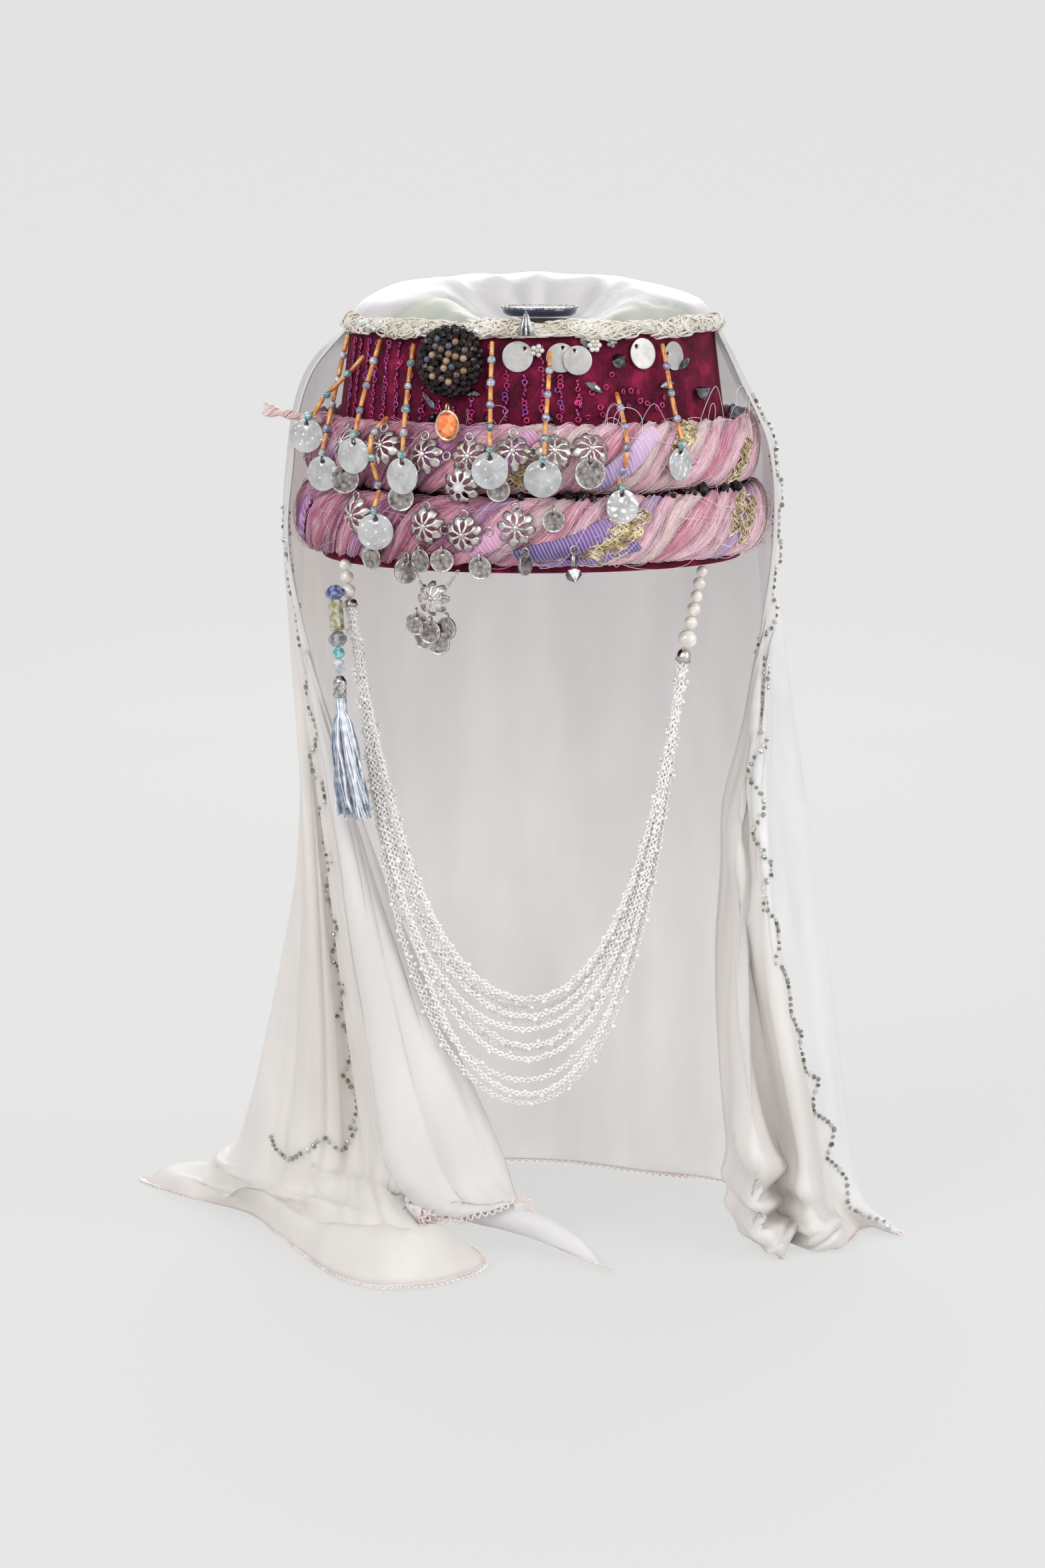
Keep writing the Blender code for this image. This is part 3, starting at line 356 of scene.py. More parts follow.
# None is sewn where the brooch or a disc lies over the velvet
covers = np.array([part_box(name) for name in ("brooch", *(f"sequin_disc_{k}" for k in range(1, 6)))])
cover_radius = (covers[:, 1, 2] - covers[:, 0, 2]) / 2 + 1.3 * MM
bare = (np.linalg.norm(sequin_places[:, None] - covers.mean(axis=1), axis=-1) > cover_radius).all(axis=1)
rings, tubed = (kind >= 0.5) & bare, (kind < 0.5) & bare
ring_points, ring_faces = doughnut(1.05 * MM, 0.38 * MM, 9, 4)
ring_points = ring_points * [1, 1, 0.5]
tube_points, tube_faces = lathe([(0, -1.0), (0.55, -1.0), (0.6, 0.0), (0.55, 1.0), (0, 1.0)], 6)
tube_points = tube_points[:, [0, 2, 1]] * MM
for name, shape, parts, chosen in (
        ("ring_sequins", ring_points, ring_faces, rings), ("cut_beads", tube_points, tube_faces, tubed)):
    points, faces = copies(shape, parts, sequin_frames[chosen], sequin_places[chosen])
    piece(name, points, faces, sequin_look.look, "velvet", tint=each(sequin_colours[chosen], len(shape)))


# Veil: one sheer off-white silk scarf laid over the crown. It falls at the sides and back, its
# left front margin is turned forward as a bright panel, and its hem lies in folds.
VEIL_RIM_A, VEIL_RIM_B, VEIL_RIM_Z = 77.4 * MM, 83.4 * MM, 96.5 * MM
VEIL_CROWN_Z, PUFF_HEIGHT = 100.0 * MM, 16.0 * MM
BUTTON_X, BUTTON_Y, BUTTON_RADIUS = 3.0 * MM, -52.0 * MM, 16.0 * MM
SHOULDER_Z, BAND_Z, NAPE_Z, MID_Z, LOW_Z = 75.0 * MM, 42.0 * MM, -10.0 * MM, -120.0 * MM, -235.0 * MM
TOUCH_REACH, TOUCH_DROP = 0.33, 0.74
VEIL_LOWEST, PANEL_LOWEST = -285.2 * MM, -284.0 * MM
CLOTH = 0.5 * MM
# Fold lines from the left front edge round the back to the right one, in millimetres
FOLD_COLUMNS = ("name", "azimuth", "mid_x", "mid_y", "low_x", "low_y", "hem_x", "hem_y", "hem_z")
FOLDS = (
    ("left_edge", -76, -68, -38, -18, -42, 32, -104, -284),
    ("panel_middle", -78, -73, -44, -38, -53, -4, -74, -276),
    ("panel_left", -80, -78, -47, -60, -55, -40, -60, -272),
    ("roll_right", -82, -81, -37, -63, -34, -20, -92, -284),
    ("roll_front", -84, -84, -31, -69, -26, -48, -130, -285),
    ("roll_left", -87, -87, -27, -75, -20, -78, -112, -285),
    ("left_valley", -91, -90, -30, -84, -26, -106, -34, -285),
    ("left_bead", -96, -94, -26, -94, -22, -122, 6, -284),
    ("left_side", -108, -98, -4, -111, 4, -150, 44, -285),
    ("left_tip", -120, -97, 24, -120, 36, -170, 84, -285),
    ("left_back", -136, -90, 58, -104, 76, -118, 104, -285),
    ("back_left", -157, -54, 98, -60, 108, -64, 120, -285),
    ("back", -180, 0, 112, 2, 119, 4, 123, -285),
    ("back_right", -203, 46, 100, 50, 98, 54, 96, -285),
    ("right_corner", -225, 80, 72, 81, 75, 84, 78, -285),
    ("right_back", -248, 106, 38, 117, 34, 128, 26, -285),
    ("right_side", -263, 117, -2, 132, -6, 154, -30, -285),
    ("right_bead", -269, 102, -42, 123, -34, 140, -20, -285),
    ("right_fold_2", -273, 95, -60, 112, -62, 126, -60, -285),
    ("right_valley", -276, 90, -48, 101, -42, 111, -28, -285),
    ("right_fold_1", -279, 85, -51, 91, -68, 103, -77, -285),
    ("right_edge", -283, 78, -20, 81, -20, 87, -26, -285),
)


def smooth_rows(values, per_span):
    """Catmull-Rom curve through the rows of an array, with per_span samples in each span."""
    padded = np.concatenate([2 * values[:1] - values[1:2], values, 2 * values[-1:] - values[-2:-1]])
    p0, p1, p2, p3 = (padded[k : k + len(values) - 1, None] for k in range(4))
    t = (np.arange(per_span) / per_span).reshape((1, -1) + (1,) * (values.ndim - 1))
    curve = 0.5 * (2 * p1 + (p2 - p0) * t + (2 * p0 - 5 * p1 + 4 * p2 - p3) * t**2
                   + (3 * p1 - p0 - 3 * p2 + p3) * t**3)
    return np.concatenate([curve.reshape((-1,) + values.shape[1:]), values[-1:]])


def veil_rim(azimuth):
    """The oval line where the crown of the veil turns down into its skirt."""
    angle = np.radians(azimuth)
    return np.stack(
        [VEIL_RIM_A * np.sin(angle), -VEIL_RIM_B * np.cos(angle), VEIL_RIM_Z + 0 * angle], axis=-1)


def fold_line(fold):
    """Eight points down one fold: rim, shoulder, band, nape, mid, low, touch and hem."""
    row = dict(zip(FOLD_COLUMNS, fold))
    angle = math.radians(row["azimuth"])
    sine, cosine = math.sin(angle), -math.cos(angle)
    left = max(0.0, -sine)
    low = np.array([row["low_x"] * MM, row["low_y"] * MM, LOW_Z])
    hem = np.array([row["hem_x"], row["hem_y"], row["hem_z"]]) * MM
    touch = low + (hem - low) * (TOUCH_REACH, TOUCH_REACH, TOUCH_DROP)
    return np.array([
        veil_rim(row["azimuth"]), ((88 + 7 * left) * MM * sine, 95 * MM * cosine, SHOULDER_Z),
        (102 * MM * sine, 108 * MM * cosine, BAND_Z), (102 * MM * sine, 107 * MM * cosine, NAPE_Z),
        (row["mid_x"] * MM, row["mid_y"] * MM, MID_Z), low, touch, hem])


def ripples(u, v):
    """Soft creases as a sum of sines that run mostly down the cloth and waver as they go."""
    wave = 0.9 * np.sin(2.1 * u + 0.5 * np.sin(1.3 * v)) + 0.6 * np.sin(4.7 * u + 0.8 * np.sin(1.9 * v + 1.0))
    wave += 0.35 * np.sin(9.1 * u + 1.1 * v) + 0.3 * np.sin(3.1 * u - 2.7 * v) * np.sin(1.7 * v)
    wave += 0.22 * np.sin(15.0 * u + 2.0 * np.sin(2.3 * v))
    # Puckers of the right inner margin
    pucker = np.exp(-((u - 19.6) / 1.4) ** 2) * np.sin(8.0 * v + 2.2 * u + 1.5 * np.sin(3.3 * v)) * (v > 3.2)
    return wave + 2.0 * pucker


# Folds that lap over each other near the floor: start and end (column, level), height in millimetres
LAPS = (
    (9.8, 5.7, 4.0, 6.2, 8.0), (8.8, 6.4, 3.4, 6.7, 7.0), (5.4, 6.88, 2.6, 6.5, 5.0),
    (7.8, 5.0, 3.0, 5.9, 4.5), (20.6, 5.9, 17.4, 6.35, 6.0), (19.6, 6.6, 17.0, 6.2, 5.0),
    (20.9, 4.7, 18.4, 5.6, 4.0), (20.9, 6.7, 18.6, 6.5, 4.0))
# Soft rolls that lie on the floor: column, level, half width in columns and levels, height in millimetres
PUFFS = (
    (4.2, 6.70, 1.5, 0.30, 11.0), (6.6, 6.62, 1.3, 0.34, 8.0), (8.9, 6.70, 0.8, 0.26, 4.0),
    (18.6, 6.75, 1.2, 0.25, 6.0), (0.6, 6.62, 0.8, 0.34, 9.0))


def laps(u, v):
    """Crisp ridges, steep on the upper side of a slanting line and falling off slowly below it, and
    soft rolls, each a product of two cosine humps."""
    total = 0 * u
    for u_middle, v_middle, u_half, v_half, height in PUFFS:
        across = np.clip(np.abs(u - u_middle) / u_half, 0, 1)
        down = np.clip(np.abs(v - v_middle) / v_half, 0, 1)
        total = total + height * np.cos(np.pi / 2 * across) * np.cos(np.pi / 2 * down) ** 0.6
    for u_from, v_from, u_to, v_to, height in LAPS:
        share = (u - u_from) / (u_to - u_from)
        below = v - (v_from + (v_to - v_from) * share + 0.12 * np.sin(5 * share))
        window = np.sin(np.pi * np.clip(share, 0, 1)) ** 0.6
        total = total + height * window * np.where(below > 0, np.exp(-below / 0.32), np.exp(below / 0.05))
    return total * MM * np.clip((7.0 - v) / 0.25, 0, 1)


COLUMN_STEPS, LEVEL_STEPS = 12, 14
fold_lines = np.array([fold_line(fold) for fold in FOLDS])
skirt = smooth_rows(fold_lines, COLUMN_STEPS)
skirt = smooth_rows(np.swapaxes(skirt, 0, 1), LEVEL_STEPS)
skirt_u = np.linspace(0, len(FOLDS) - 1, skirt.shape[1])
skirt_v = np.linspace(0, 7, skirt.shape[0])
skirt_normal = np.cross(np.gradient(skirt, axis=0), np.gradient(skirt, axis=1))
skirt_normal /= np.maximum(np.linalg.norm(skirt_normal, axis=-1, keepdims=True), 1e-9)
centre_line = np.array([0.0, 15 * MM, 0.0])
away = np.einsum("ijk,ijk->ij", skirt_normal, (skirt - centre_line) * [1, 1, 0])
facing = np.sign(np.sign(away).sum())
skirt_normal *= facing
U, V = np.meshgrid(skirt_u, skirt_v)
depth = np.interp(skirt_v, [0, 1.2, 2, 3, 5, 6, 7], [0, 0.25, 0.6, 1.0, 1.8, 1.6, 0.5])[:, None] * MM
quiet = 1 - 0.45 * np.exp(-((U - 12.0) / 2.2) ** 2)
skirt = skirt + skirt_normal * (ripples(U, V) * depth * quiet + laps(U, V))[..., None]
skirt[..., 2] = np.maximum(skirt[..., 2], VEIL_LOWEST)

FRONT_STEPS = 84
side_azimuth = smooth_rows(np.array([[float(fold[1])] for fold in FOLDS]), COLUMN_STEPS)[:, 0]
front_azimuth = np.linspace(side_azimuth[-1], side_azimuth[0] - 360.0, FRONT_STEPS)[1:-1]
crown_azimuth = np.concatenate([side_azimuth, front_azimuth])
crown_shares = np.array([
    0.03, 0.08, 0.14, 0.2, 0.26, 0.32, 0.38, 0.44, 0.5, 0.55, 0.6, 0.65, 0.7, 0.74, 0.78, 0.82, 0.86, 0.89,
    0.92, 0.945, 0.965, 0.98, 0.992])


def gathers(x, y):
    """Folds that fan out from the button: cosines of the angle round it that fade with distance."""
    away = np.maximum(np.hypot(x - BUTTON_X, y - BUTTON_Y) - BUTTON_RADIUS, 0)
    turn = np.arctan2(x - BUTTON_X, y - BUTTON_Y)
    fan = 1.9 * np.cos(11 * turn + 1.4 * np.sin(2 * turn))
    fan = fan + 1.1 * np.cos(19 * turn + 1.0) + 0.5 * np.cos(31 * turn)
    return fan * np.exp(-away / (38 * MM))


def crown_height(x, y, share):
    """Puffed cloth, pressed flat under the button, with gathers that fan out from the button."""
    away = np.hypot(x - BUTTON_X, y - BUTTON_Y)
    rise = np.clip((away - BUTTON_RADIUS * 1.15) / (1.6 * BUTTON_RADIUS), 0, 1)
    rise = rise * rise * (3 - 2 * rise)
    soft = 1.3 * np.sin(x / (11 * MM) + 1.2 * np.sin(y / (21 * MM))) * np.exp(-((share - 0.75) / 0.3) ** 2)
    edge = (1 - np.minimum(share, 1.0) ** 3.5) ** 0.8
    return VEIL_CROWN_Z + PUFF_HEIGHT * rise * edge + (gathers(x, y) + soft) * MM * rise * (1 - share**5)


def layer_edge(x, y):
    """One where the lower, greenish layer of the cloth shows in front of the wavy upper edge."""
    waves = 8 * MM * np.cos(x / (13 * MM) + 0.8) * np.clip(np.abs(x) / (45 * MM), 0, 1)
    front = -y - 56 * MM + waves + 0.25 * np.abs(x)
    return np.clip(front / (1.6 * MM), 0, 1)


crown_rim = veil_rim(crown_azimuth)
crown = crown_rim[None] * crown_shares[:, None, None]
crown[..., 2] = crown_height(crown[..., 0], crown[..., 1], crown_shares[:, None])
# The last rows round off from the puffed crown to the rim line
ease = np.clip((crown_shares - 0.9) / 0.1, 0, 1)[:, None] ** 2
crown[..., 2] = crown[..., 2] * (1 - ease) + VEIL_RIM_Z * ease + 1.2 * MM * ease
lower_layer = layer_edge(crown[..., 0], crown[..., 1])
crown[..., 2] -= 1.3 * MM * lower_layer * (1 - ease)
crown_rows, crown_columns = len(crown_shares) + 1, len(crown_azimuth)
pole = np.array([[0, 0, crown_height(0.0, 0.0, 0.0)]])
cloth_points = np.concatenate([crown.reshape(-1, 3), crown_rim, pole, skirt[1:].reshape(-1, 3)])
pole_index = crown_rows * crown_columns
step = np.arange(crown_columns)
pole_fan = np.stack([np.full(crown_columns, pole_index), (step + 1) % crown_columns, step], axis=-1)
skirt_rows, skirt_columns = skirt.shape[:2]
rim_row = (crown_rows - 1) * crown_columns + np.arange(skirt_columns)
skirt_index = np.concatenate([
    rim_row[None], pole_index + 1 + np.arange((skirt_rows - 1) * skirt_columns).reshape(-1, skirt_columns)])
quad_corners = (skirt_index[:-1, :-1], skirt_index[:-1, 1:], skirt_index[1:, 1:], skirt_index[1:, :-1])
skirt_quads = np.stack(quad_corners, axis=-1).reshape(-1, 4)

# Tones of the cloth by fold column, partly from one or two layers and how the light passes them, partly
# painted light and shade
# Painted light and shade: a lit white tone on the outer faces, a warm half shade on inner faces and a cool
# grey shade inside the back
WARM_HALF_SHADE, COOL_SHADE, LIT_WHITE = (0.96, 0.935, 0.912), (0.90, 0.885, 0.885), (0.99, 0.98, 0.985)
# The lower layer's tone: its own greenish tint, made darker as painted shade under the upper layer's wavy
# edge
CROWN_TONE, SHADED_LAYER_TONE, RIM_TONE = np.array(((0.78, 0.755, 0.76), (0.58, 0.60, 0.52), (0.80, 0.79, 0.79)))
UPPER_TONE = np.array((0.95, 0.945, 0.94))
# The bead line of the right margin, which parts two tones: level, fold column
RIGHT_BEADS = (
    (1.3, 19.6), (2.0, 19.4), (3.0, 19.4), (3.6, 18.6), (4.0, 18.0), (5.0, 17.0), (6.0, 16.6), (6.9, 16.3))
TONES_AT = (0, 1.9, 2.3, 8.0, 11.0, 13.0, 15.0, 16.0, 21)
TONES = np.array([LIT_WHITE, LIT_WHITE, WARM_HALF_SHADE, WARM_HALF_SHADE, COOL_SHADE, COOL_SHADE, COOL_SHADE, LIT_WHITE, LIT_WHITE])
tone_of = np.stack([np.interp(U, TONES_AT, TONES[:, k]) for k in range(3)], axis=-1)
bead_levels, bead_columns = np.array(RIGHT_BEADS).T
# Painted half shade on the right inner margin, beyond its bead line
inside_beads = np.clip((U - np.interp(V, bead_levels, bead_columns)) / 0.25, 0, 1)[..., None]
tone_of = tone_of * (1 - inside_beads) + inside_beads * np.array(WARM_HALF_SHADE)
upper = np.clip((2.6 - V) / 1.2, 0, 1)[..., None]
tone_of = tone_of * (1 - upper) + upper * UPPER_TONE
# Painted shade: the skirt darkens towards the rim, under the crown's edge
tone_of = tone_of * (0.84 + 0.16 * np.clip(V / 0.9, 0, 1))[..., None]
crown_tone = CROWN_TONE * (1 - lower_layer[..., None]) + lower_layer[..., None] * SHADED_LAYER_TONE
# Painted shade: the crown darkens in the valleys of the gathers
crown_tone = crown_tone * (0.92 + 0.08 * np.clip(gathers(crown[..., 0], crown[..., 1]), -2.4, 1.0))[..., None]
rim_tone = crown_tone[-1] * 0.5 + 0.5 * RIM_TONE
cloth_tint = np.concatenate(
    [crown_tone.reshape(-1, 3), rim_tone, crown_tone[0, :1], tone_of[1:].reshape(-1, 3)])

silk = Finish("sheer_silk", Roughness=0.42, Sheen_Weight=0.3, Sheen_Roughness=0.4, Specular_IOR_Level=0.4)
# Painted shade: soft streaks darken the silk's colour a little, for the shade of its folds
painted_fold_shade = silk.noise(1.0, 3.0, silk.stretched(silk.place, (34.0, 34.0, 11.0)))
tone = silk.mix(1.0, silk.tint(), silk.ramp(painted_fold_shade, (0.3, 0.93), (0.7, 1.0)), "MULTIPLY")
# Painted glints: small bright specks screened over the colour for the veil's glitter
painted_glints = silk.ramp(silk.cells(900.0), (0.0, 1.0), (0.16, 0.0))
faint_painted_glints = silk.mix(1.0, painted_glints, (0.10, 0.10, 0.10), "MULTIPLY")
silk.into("Base Color", silk.mix(faint_painted_glints, tone, (1.0, 1.0, 1.0), "SCREEN"))
crease = silk.noise(1.0, 4.0, silk.stretched(silk.place, (60.0, 60.0, 22.0)))
silk.bump(crease, 0.45, 2.2 * MM).bump(silk.noise(2600.0, 1.0), 0.12, 0.1 * MM)
light_through = silk.node("ShaderNodeBsdfTranslucent")
silk.link(tone, light_through.inputs["Color"])
sheer = silk.node("ShaderNodeMixShader")
silk.link(silk.node("ShaderNodeAttribute", attribute_name="sheer").outputs["Fac"], sheer.inputs[0])
silk.link(silk.shader.outputs[0], sheer.inputs[1]).link(light_through.outputs[0], sheer.inputs[2])
silk.link(sheer.outputs[0], silk.tree.nodes["Material Output"].inputs["Surface"])

cloth = piece("silk_veil", cloth_points, [grid_faces(crown_rows, crown_columns, True), pole_fan, skirt_quads],
              silk.look, "veil_silk", "veil", tint=cloth_tint, closed=False)
# The share of light that passes: little over the cap, where the cloth lies double, more in the skirt
CROWN_SHEER, SKIRT_SHEER, FACE_SHEER, PANEL_SHEER = 0.2, 0.6, 0.45, 0.35
skirt_sheer = np.where(U > 15.2, FACE_SHEER, SKIRT_SHEER)
skirt_sheer = CROWN_SHEER + (skirt_sheer - CROWN_SHEER) * np.clip(V / 0.6, 0, 1)


def set_sheer(made, shares):
    """The share of light that passes at each point, read by the silk as the attribute sheer."""
    made.data.attributes.new("sheer", "FLOAT", "POINT").data.foreach_set("value", shares)


def thicken(made):
    """A cloth wall that lies half on each side of the surface, with closed edges."""
    wall = made.modifiers.new("cloth_wall", "SOLIDIFY")
    wall.thickness = CLOTH
    wall.offset = 0.0
    wall.use_rim = True


crown_sheer = np.full(crown_rows * crown_columns + 1, CROWN_SHEER)
set_sheer(cloth, np.concatenate([crown_sheer, skirt_sheer[1:].ravel()]))
thicken(cloth)


def cloth_at(u, v):
    """Points of the skirt at fractional column u and level v, by bilinear mixing of the grid."""
    i, j = np.asarray(v) * LEVEL_STEPS, np.asarray(u) * COLUMN_STEPS
    i0 = np.clip(i.astype(int), 0, skirt_rows - 2)
    j0 = np.clip(j.astype(int), 0, skirt_columns - 2)
    a, b = (i - i0)[..., None], (j - j0)[..., None]
    return ((1 - a) * (1 - b) * skirt[i0, j0] + (1 - a) * b * skirt[i0, j0 + 1]
            + a * (1 - b) * skirt[i0 + 1, j0] + a * b * skirt[i0 + 1, j0 + 1])


def cloth_normal(u, v):
    """The skirt's unit normals at the same places, from small steps along both ways."""
    d = 0.04
    across = cloth_at(np.minimum(u + d, skirt_u[-1]), v) - cloth_at(np.maximum(u - d, 0), v)
    fall = cloth_at(u, np.minimum(v + d, 7.0)) - cloth_at(u, np.maximum(v - d, 0))
    normal = np.cross(fall, across) * facing
    return normal / np.maximum(np.linalg.norm(normal, axis=-1, keepdims=True), 1e-9)


# Picot hem of the veil: a crocheted edging in pale pink and white thread, a row of small
# loops worked along the whole hem, with a second row outside it on the far left tip.


def measured(path, pitch):
    """The same line resampled so that its points lie pitch apart, and its running length. Columns
    after the third, such as normals, are carried along."""
    path = np.asarray(path, float)
    run = np.concatenate([[0], np.cumsum(np.linalg.norm(np.diff(path[:, :3], axis=0), axis=1))])
    places = np.arange(0, run[-1], pitch)
    return np.stack([np.interp(places, run, path[:, k]) for k in range(path.shape[1])], axis=1), places


def tubes(paths, radius, sides=5, across=(0.0, 1.0, 0.0)):
    """Round threads along many lines at once: centre + radius (cos a side + sin a other)."""
    paths = np.atleast_3d(paths) if np.ndim(paths) == 3 else np.asarray(paths)[None]
    count, length = paths.shape[:2]
    forward = np.gradient(paths, axis=1)
    forward /= np.maximum(np.linalg.norm(forward, axis=-1, keepdims=True), 1e-12)
    side = np.cross(forward, across)
    short = np.linalg.norm(side, axis=-1, keepdims=True)
    side = np.where(short > 0.15, side / np.maximum(short, 1e-9), np.cross(forward, (0.31, 0.2, 0.93)))
    side /= np.maximum(np.linalg.norm(side, axis=-1, keepdims=True), 1e-9)
    other = np.cross(forward, side)
    angle = np.arange(sides) * 2 * np.pi / sides
    radius = np.broadcast_to(np.asarray(radius, float), (count, length))[..., None, None]
    ring = np.cos(angle)[:, None] * side[:, :, None] + np.sin(angle)[:, None] * other[:, :, None]
    points = (paths[:, :, None] + radius * ring).reshape(-1, 3)
    shift = (np.arange(count) * length * sides)[:, None, None]
    walls = (grid_faces(length, sides, True)[None] + shift).reshape(-1, 4)
    cap = np.arange(sides)[None]
    ends = np.concatenate([cap[:, ::-1], cap + (length - 1) * sides])
    return points, [walls, (ends[None] + shift).reshape(-1, sides)]


def joined(*shapes):
    """Several (points, faces) as one."""
    points, faces, start = [], [], 0
    for own, parts in shapes:
        points.append(own)
        faces += [part + start for part in parts]
        start += len(own)
    return np.concatenate(points), faces


def slab(top, bottom):
    """A closed plate from an upper and a lower grid of the same shape: each row's points run along
    the top and back along the bottom, and a face closes each end."""
    rows, columns = top.shape[:2]
    ring = np.concatenate([top, bottom[:, ::-1]], axis=1)
    end = np.arange(2 * columns)[None]
    ends = [end[:, ::-1], end + (rows - 1) * 2 * columns]
    return ring.reshape(-1, 3), [grid_faces(rows, 2 * columns, True), *ends]


picot_thread = Finish("picot_thread", Roughness=0.6, Sheen_Weight=0.3)
picot_thread.into("Base Color", picot_thread.ramp(
    picot_thread.noise(70.0, 2.0), (0.35, (0.80, 0.62, 0.60)), (0.6, (0.84, 0.80, 0.77))))
picot_thread.bump(picot_thread.noise(1800.0, 2.0), 0.4, 0.2 * MM)


def picot(line, outwards, pitch, height, wire):
    """Loops along a line: each point moves out by height times the size of sin(pi s / pitch)."""
    both, run = measured(np.concatenate([line, outwards], axis=1), pitch / 7)
    line, outwards = both[:, :3], both[:, 3:]
    loop = np.abs(np.sin(np.pi * run / pitch))[:, None]
    lift = np.array([0, 0, 0.35 * MM]) * np.sin(2 * np.pi * run / pitch)[:, None]
    return joined(tubes(line + outwards * height * loop + lift, wire, 4), tubes(line[::3], wire, 4))


hem = skirt[-1]
hem_out = hem - skirt[-4]
hem_out[:, 2] *= 0.2
hem_out /= np.linalg.norm(hem_out, axis=1, keepdims=True)
hem = hem + (0, 0, 0.25 * MM)
far_tip = slice(int(8.0 * COLUMN_STEPS), int(10.6 * COLUMN_STEPS))

# The left front margin is turned forward once more: a second, bright layer with a crisp left edge
PANEL_COLUMNS, PANEL_ROWS = 40, 90
panel_side = np.linspace(0, 1, PANEL_COLUMNS)[None]
panel_fall = np.linspace(0, 1, PANEL_ROWS)[:, None]
panel_u = 0.05 + panel_side * (1.9 + 0.5 * panel_fall**3)
panel_v = 3.3 + 3.2 * panel_fall + 0.1 * panel_fall * (1 - panel_side)
panel_skin = cloth_at(panel_u, panel_v)
panel_normal = cloth_normal(panel_u, panel_v)
panel_normal = panel_normal * np.where(panel_normal[..., 1] < 0, 1, -1)[..., None]
swell = 1.2 + 2.0 * np.sin(np.pi * panel_side) ** 0.7 + 3.0 * panel_side**6
swell = swell + 0.9 * np.sin(5.0 * panel_side + 6.0 * panel_fall) * np.sin(9.0 * panel_fall + 1.0)
swell = 0.6 + swell * np.clip(3 * panel_fall, 0, 1)
panel_skin = panel_skin + panel_normal * (swell * MM)[..., None]
panel_skin[..., 2] = np.maximum(panel_skin[..., 2], PANEL_LOWEST)
panel = piece("silk_front_panel", panel_skin, grid_faces(PANEL_ROWS, PANEL_COLUMNS), silk.look, "veil_silk",
              tint=(0.91, 0.885, 0.87), closed=False)
set_sheer(panel, np.full(PANEL_ROWS * PANEL_COLUMNS, PANEL_SHEER))
thicken(panel)
panel_out = panel_skin[-1] - panel_skin[-3]
panel_out /= np.linalg.norm(panel_out, axis=1, keepdims=True)

hem_points, hem_faces = joined(
    picot(hem, hem_out, 3.3 * MM, 2.8 * MM, 0.36 * MM),
    picot(hem[far_tip] + hem_out[far_tip] * 2.2 * MM, hem_out[far_tip], 3.3 * MM, 2.6 * MM, 0.4 * MM),
    picot(panel_skin[-1], panel_out, 3.2 * MM, 2.8 * MM, 0.36 * MM))
hem_trim = piece("picot_hem", hem_points, hem_faces, picot_thread.look, "crochet_lace")
# Rolled edges: the veil's two front margins and the panel's inner one
EDGE_SAMPLES = 120
edge_levels = np.linspace(0.4, 6.98, EDGE_SAMPLES)
panel_places = np.linspace(0, PANEL_ROWS - 1, EDGE_SAMPLES)
panel_edge = [np.interp(panel_places, np.arange(PANEL_ROWS), panel_skin[:, -1, k]) for k in range(3)]
edge_lines = [cloth_at(np.full(EDGE_SAMPLES, u), edge_levels) for u in (0.02, 20.98)]
edge_lines.append(np.array(panel_edge).T)
rolled_edges = piece("rolled_edges", *tubes(np.stack(edge_lines), 0.55 * MM, 6), silk.look, "veil_silk",
                     tint=(0.66, 0.645, 0.64))


# Bead lines on the veil: green and silver glass beads sewn one by one in a soft scallop inside the
# front margins. Every fourth bead is a clear one.
BEAD_STEP, SCALLOP_STEP, SCALLOP = 3.3 * MM, 26.0 * MM, 2.9 * MM
WIDTH_WINDOW = 121
# Level on the veil, fold column
LEFT_BEADS = ((2.5, 0.6), (3.0, 1.2), (3.5, 3.0), (4.0, 4.5), (4.6, 4.9), (5.1, 5.0))
LEFT_TURN = ((5.1, 5.0), (5.25, 5.6), (5.15, 6.4), (5.4, 7.3), (5.25, 8.0))


def bead_line(table, scallop, lift=1.0 * MM):
    """Places and normals along a scalloped line on the skirt, one bead step apart. The scallop is
    counted in fold columns by their visible width, averaged over a window along the line."""
    v, u = smooth_rows(np.array(table), 150).T
    line = cloth_at(u, v)
    run = np.concatenate([[0], np.cumsum(np.linalg.norm(np.diff(line, axis=0), axis=1))])
    beside = (cloth_at(u + 0.3, v) - cloth_at(u - 0.3, v)) / 0.6
    width = np.maximum(np.abs(beside[:, 0]), 0.4 * np.linalg.norm(beside, axis=1))
    window = np.ones(WIDTH_WINDOW) / WIDTH_WINDOW
    width = np.convolve(np.pad(width, WIDTH_WINDOW // 2, mode="edge"), window, mode="valid")
    wave = 2 / np.pi * np.arcsin(np.sin(2 * np.pi * run / SCALLOP_STEP + 0.9 * np.sin(run / (47 * MM))))
    u = np.clip(u + np.clip(scallop * wave / np.maximum(width, 3 * MM), -0.6, 0.6), 0, skirt_u[-1])
    line, normal = cloth_at(u, v), cloth_normal(u, v)
    both, _ = measured(np.concatenate([line, normal], axis=1), BEAD_STEP)
    return both[:, :3], both[:, 3:], lift


def on_both_faces(rows):
    """Bead places and frames on the outer and inner face of the cloth."""
    places = np.concatenate([line + normal * lift * side for line, normal, lift in rows for side in (1, -1)])
    normals = np.concatenate([normal * side for _, normal, _ in rows for side in (1, -1)])
    return places, frames_of(normals + (0, 0, 1e-3))


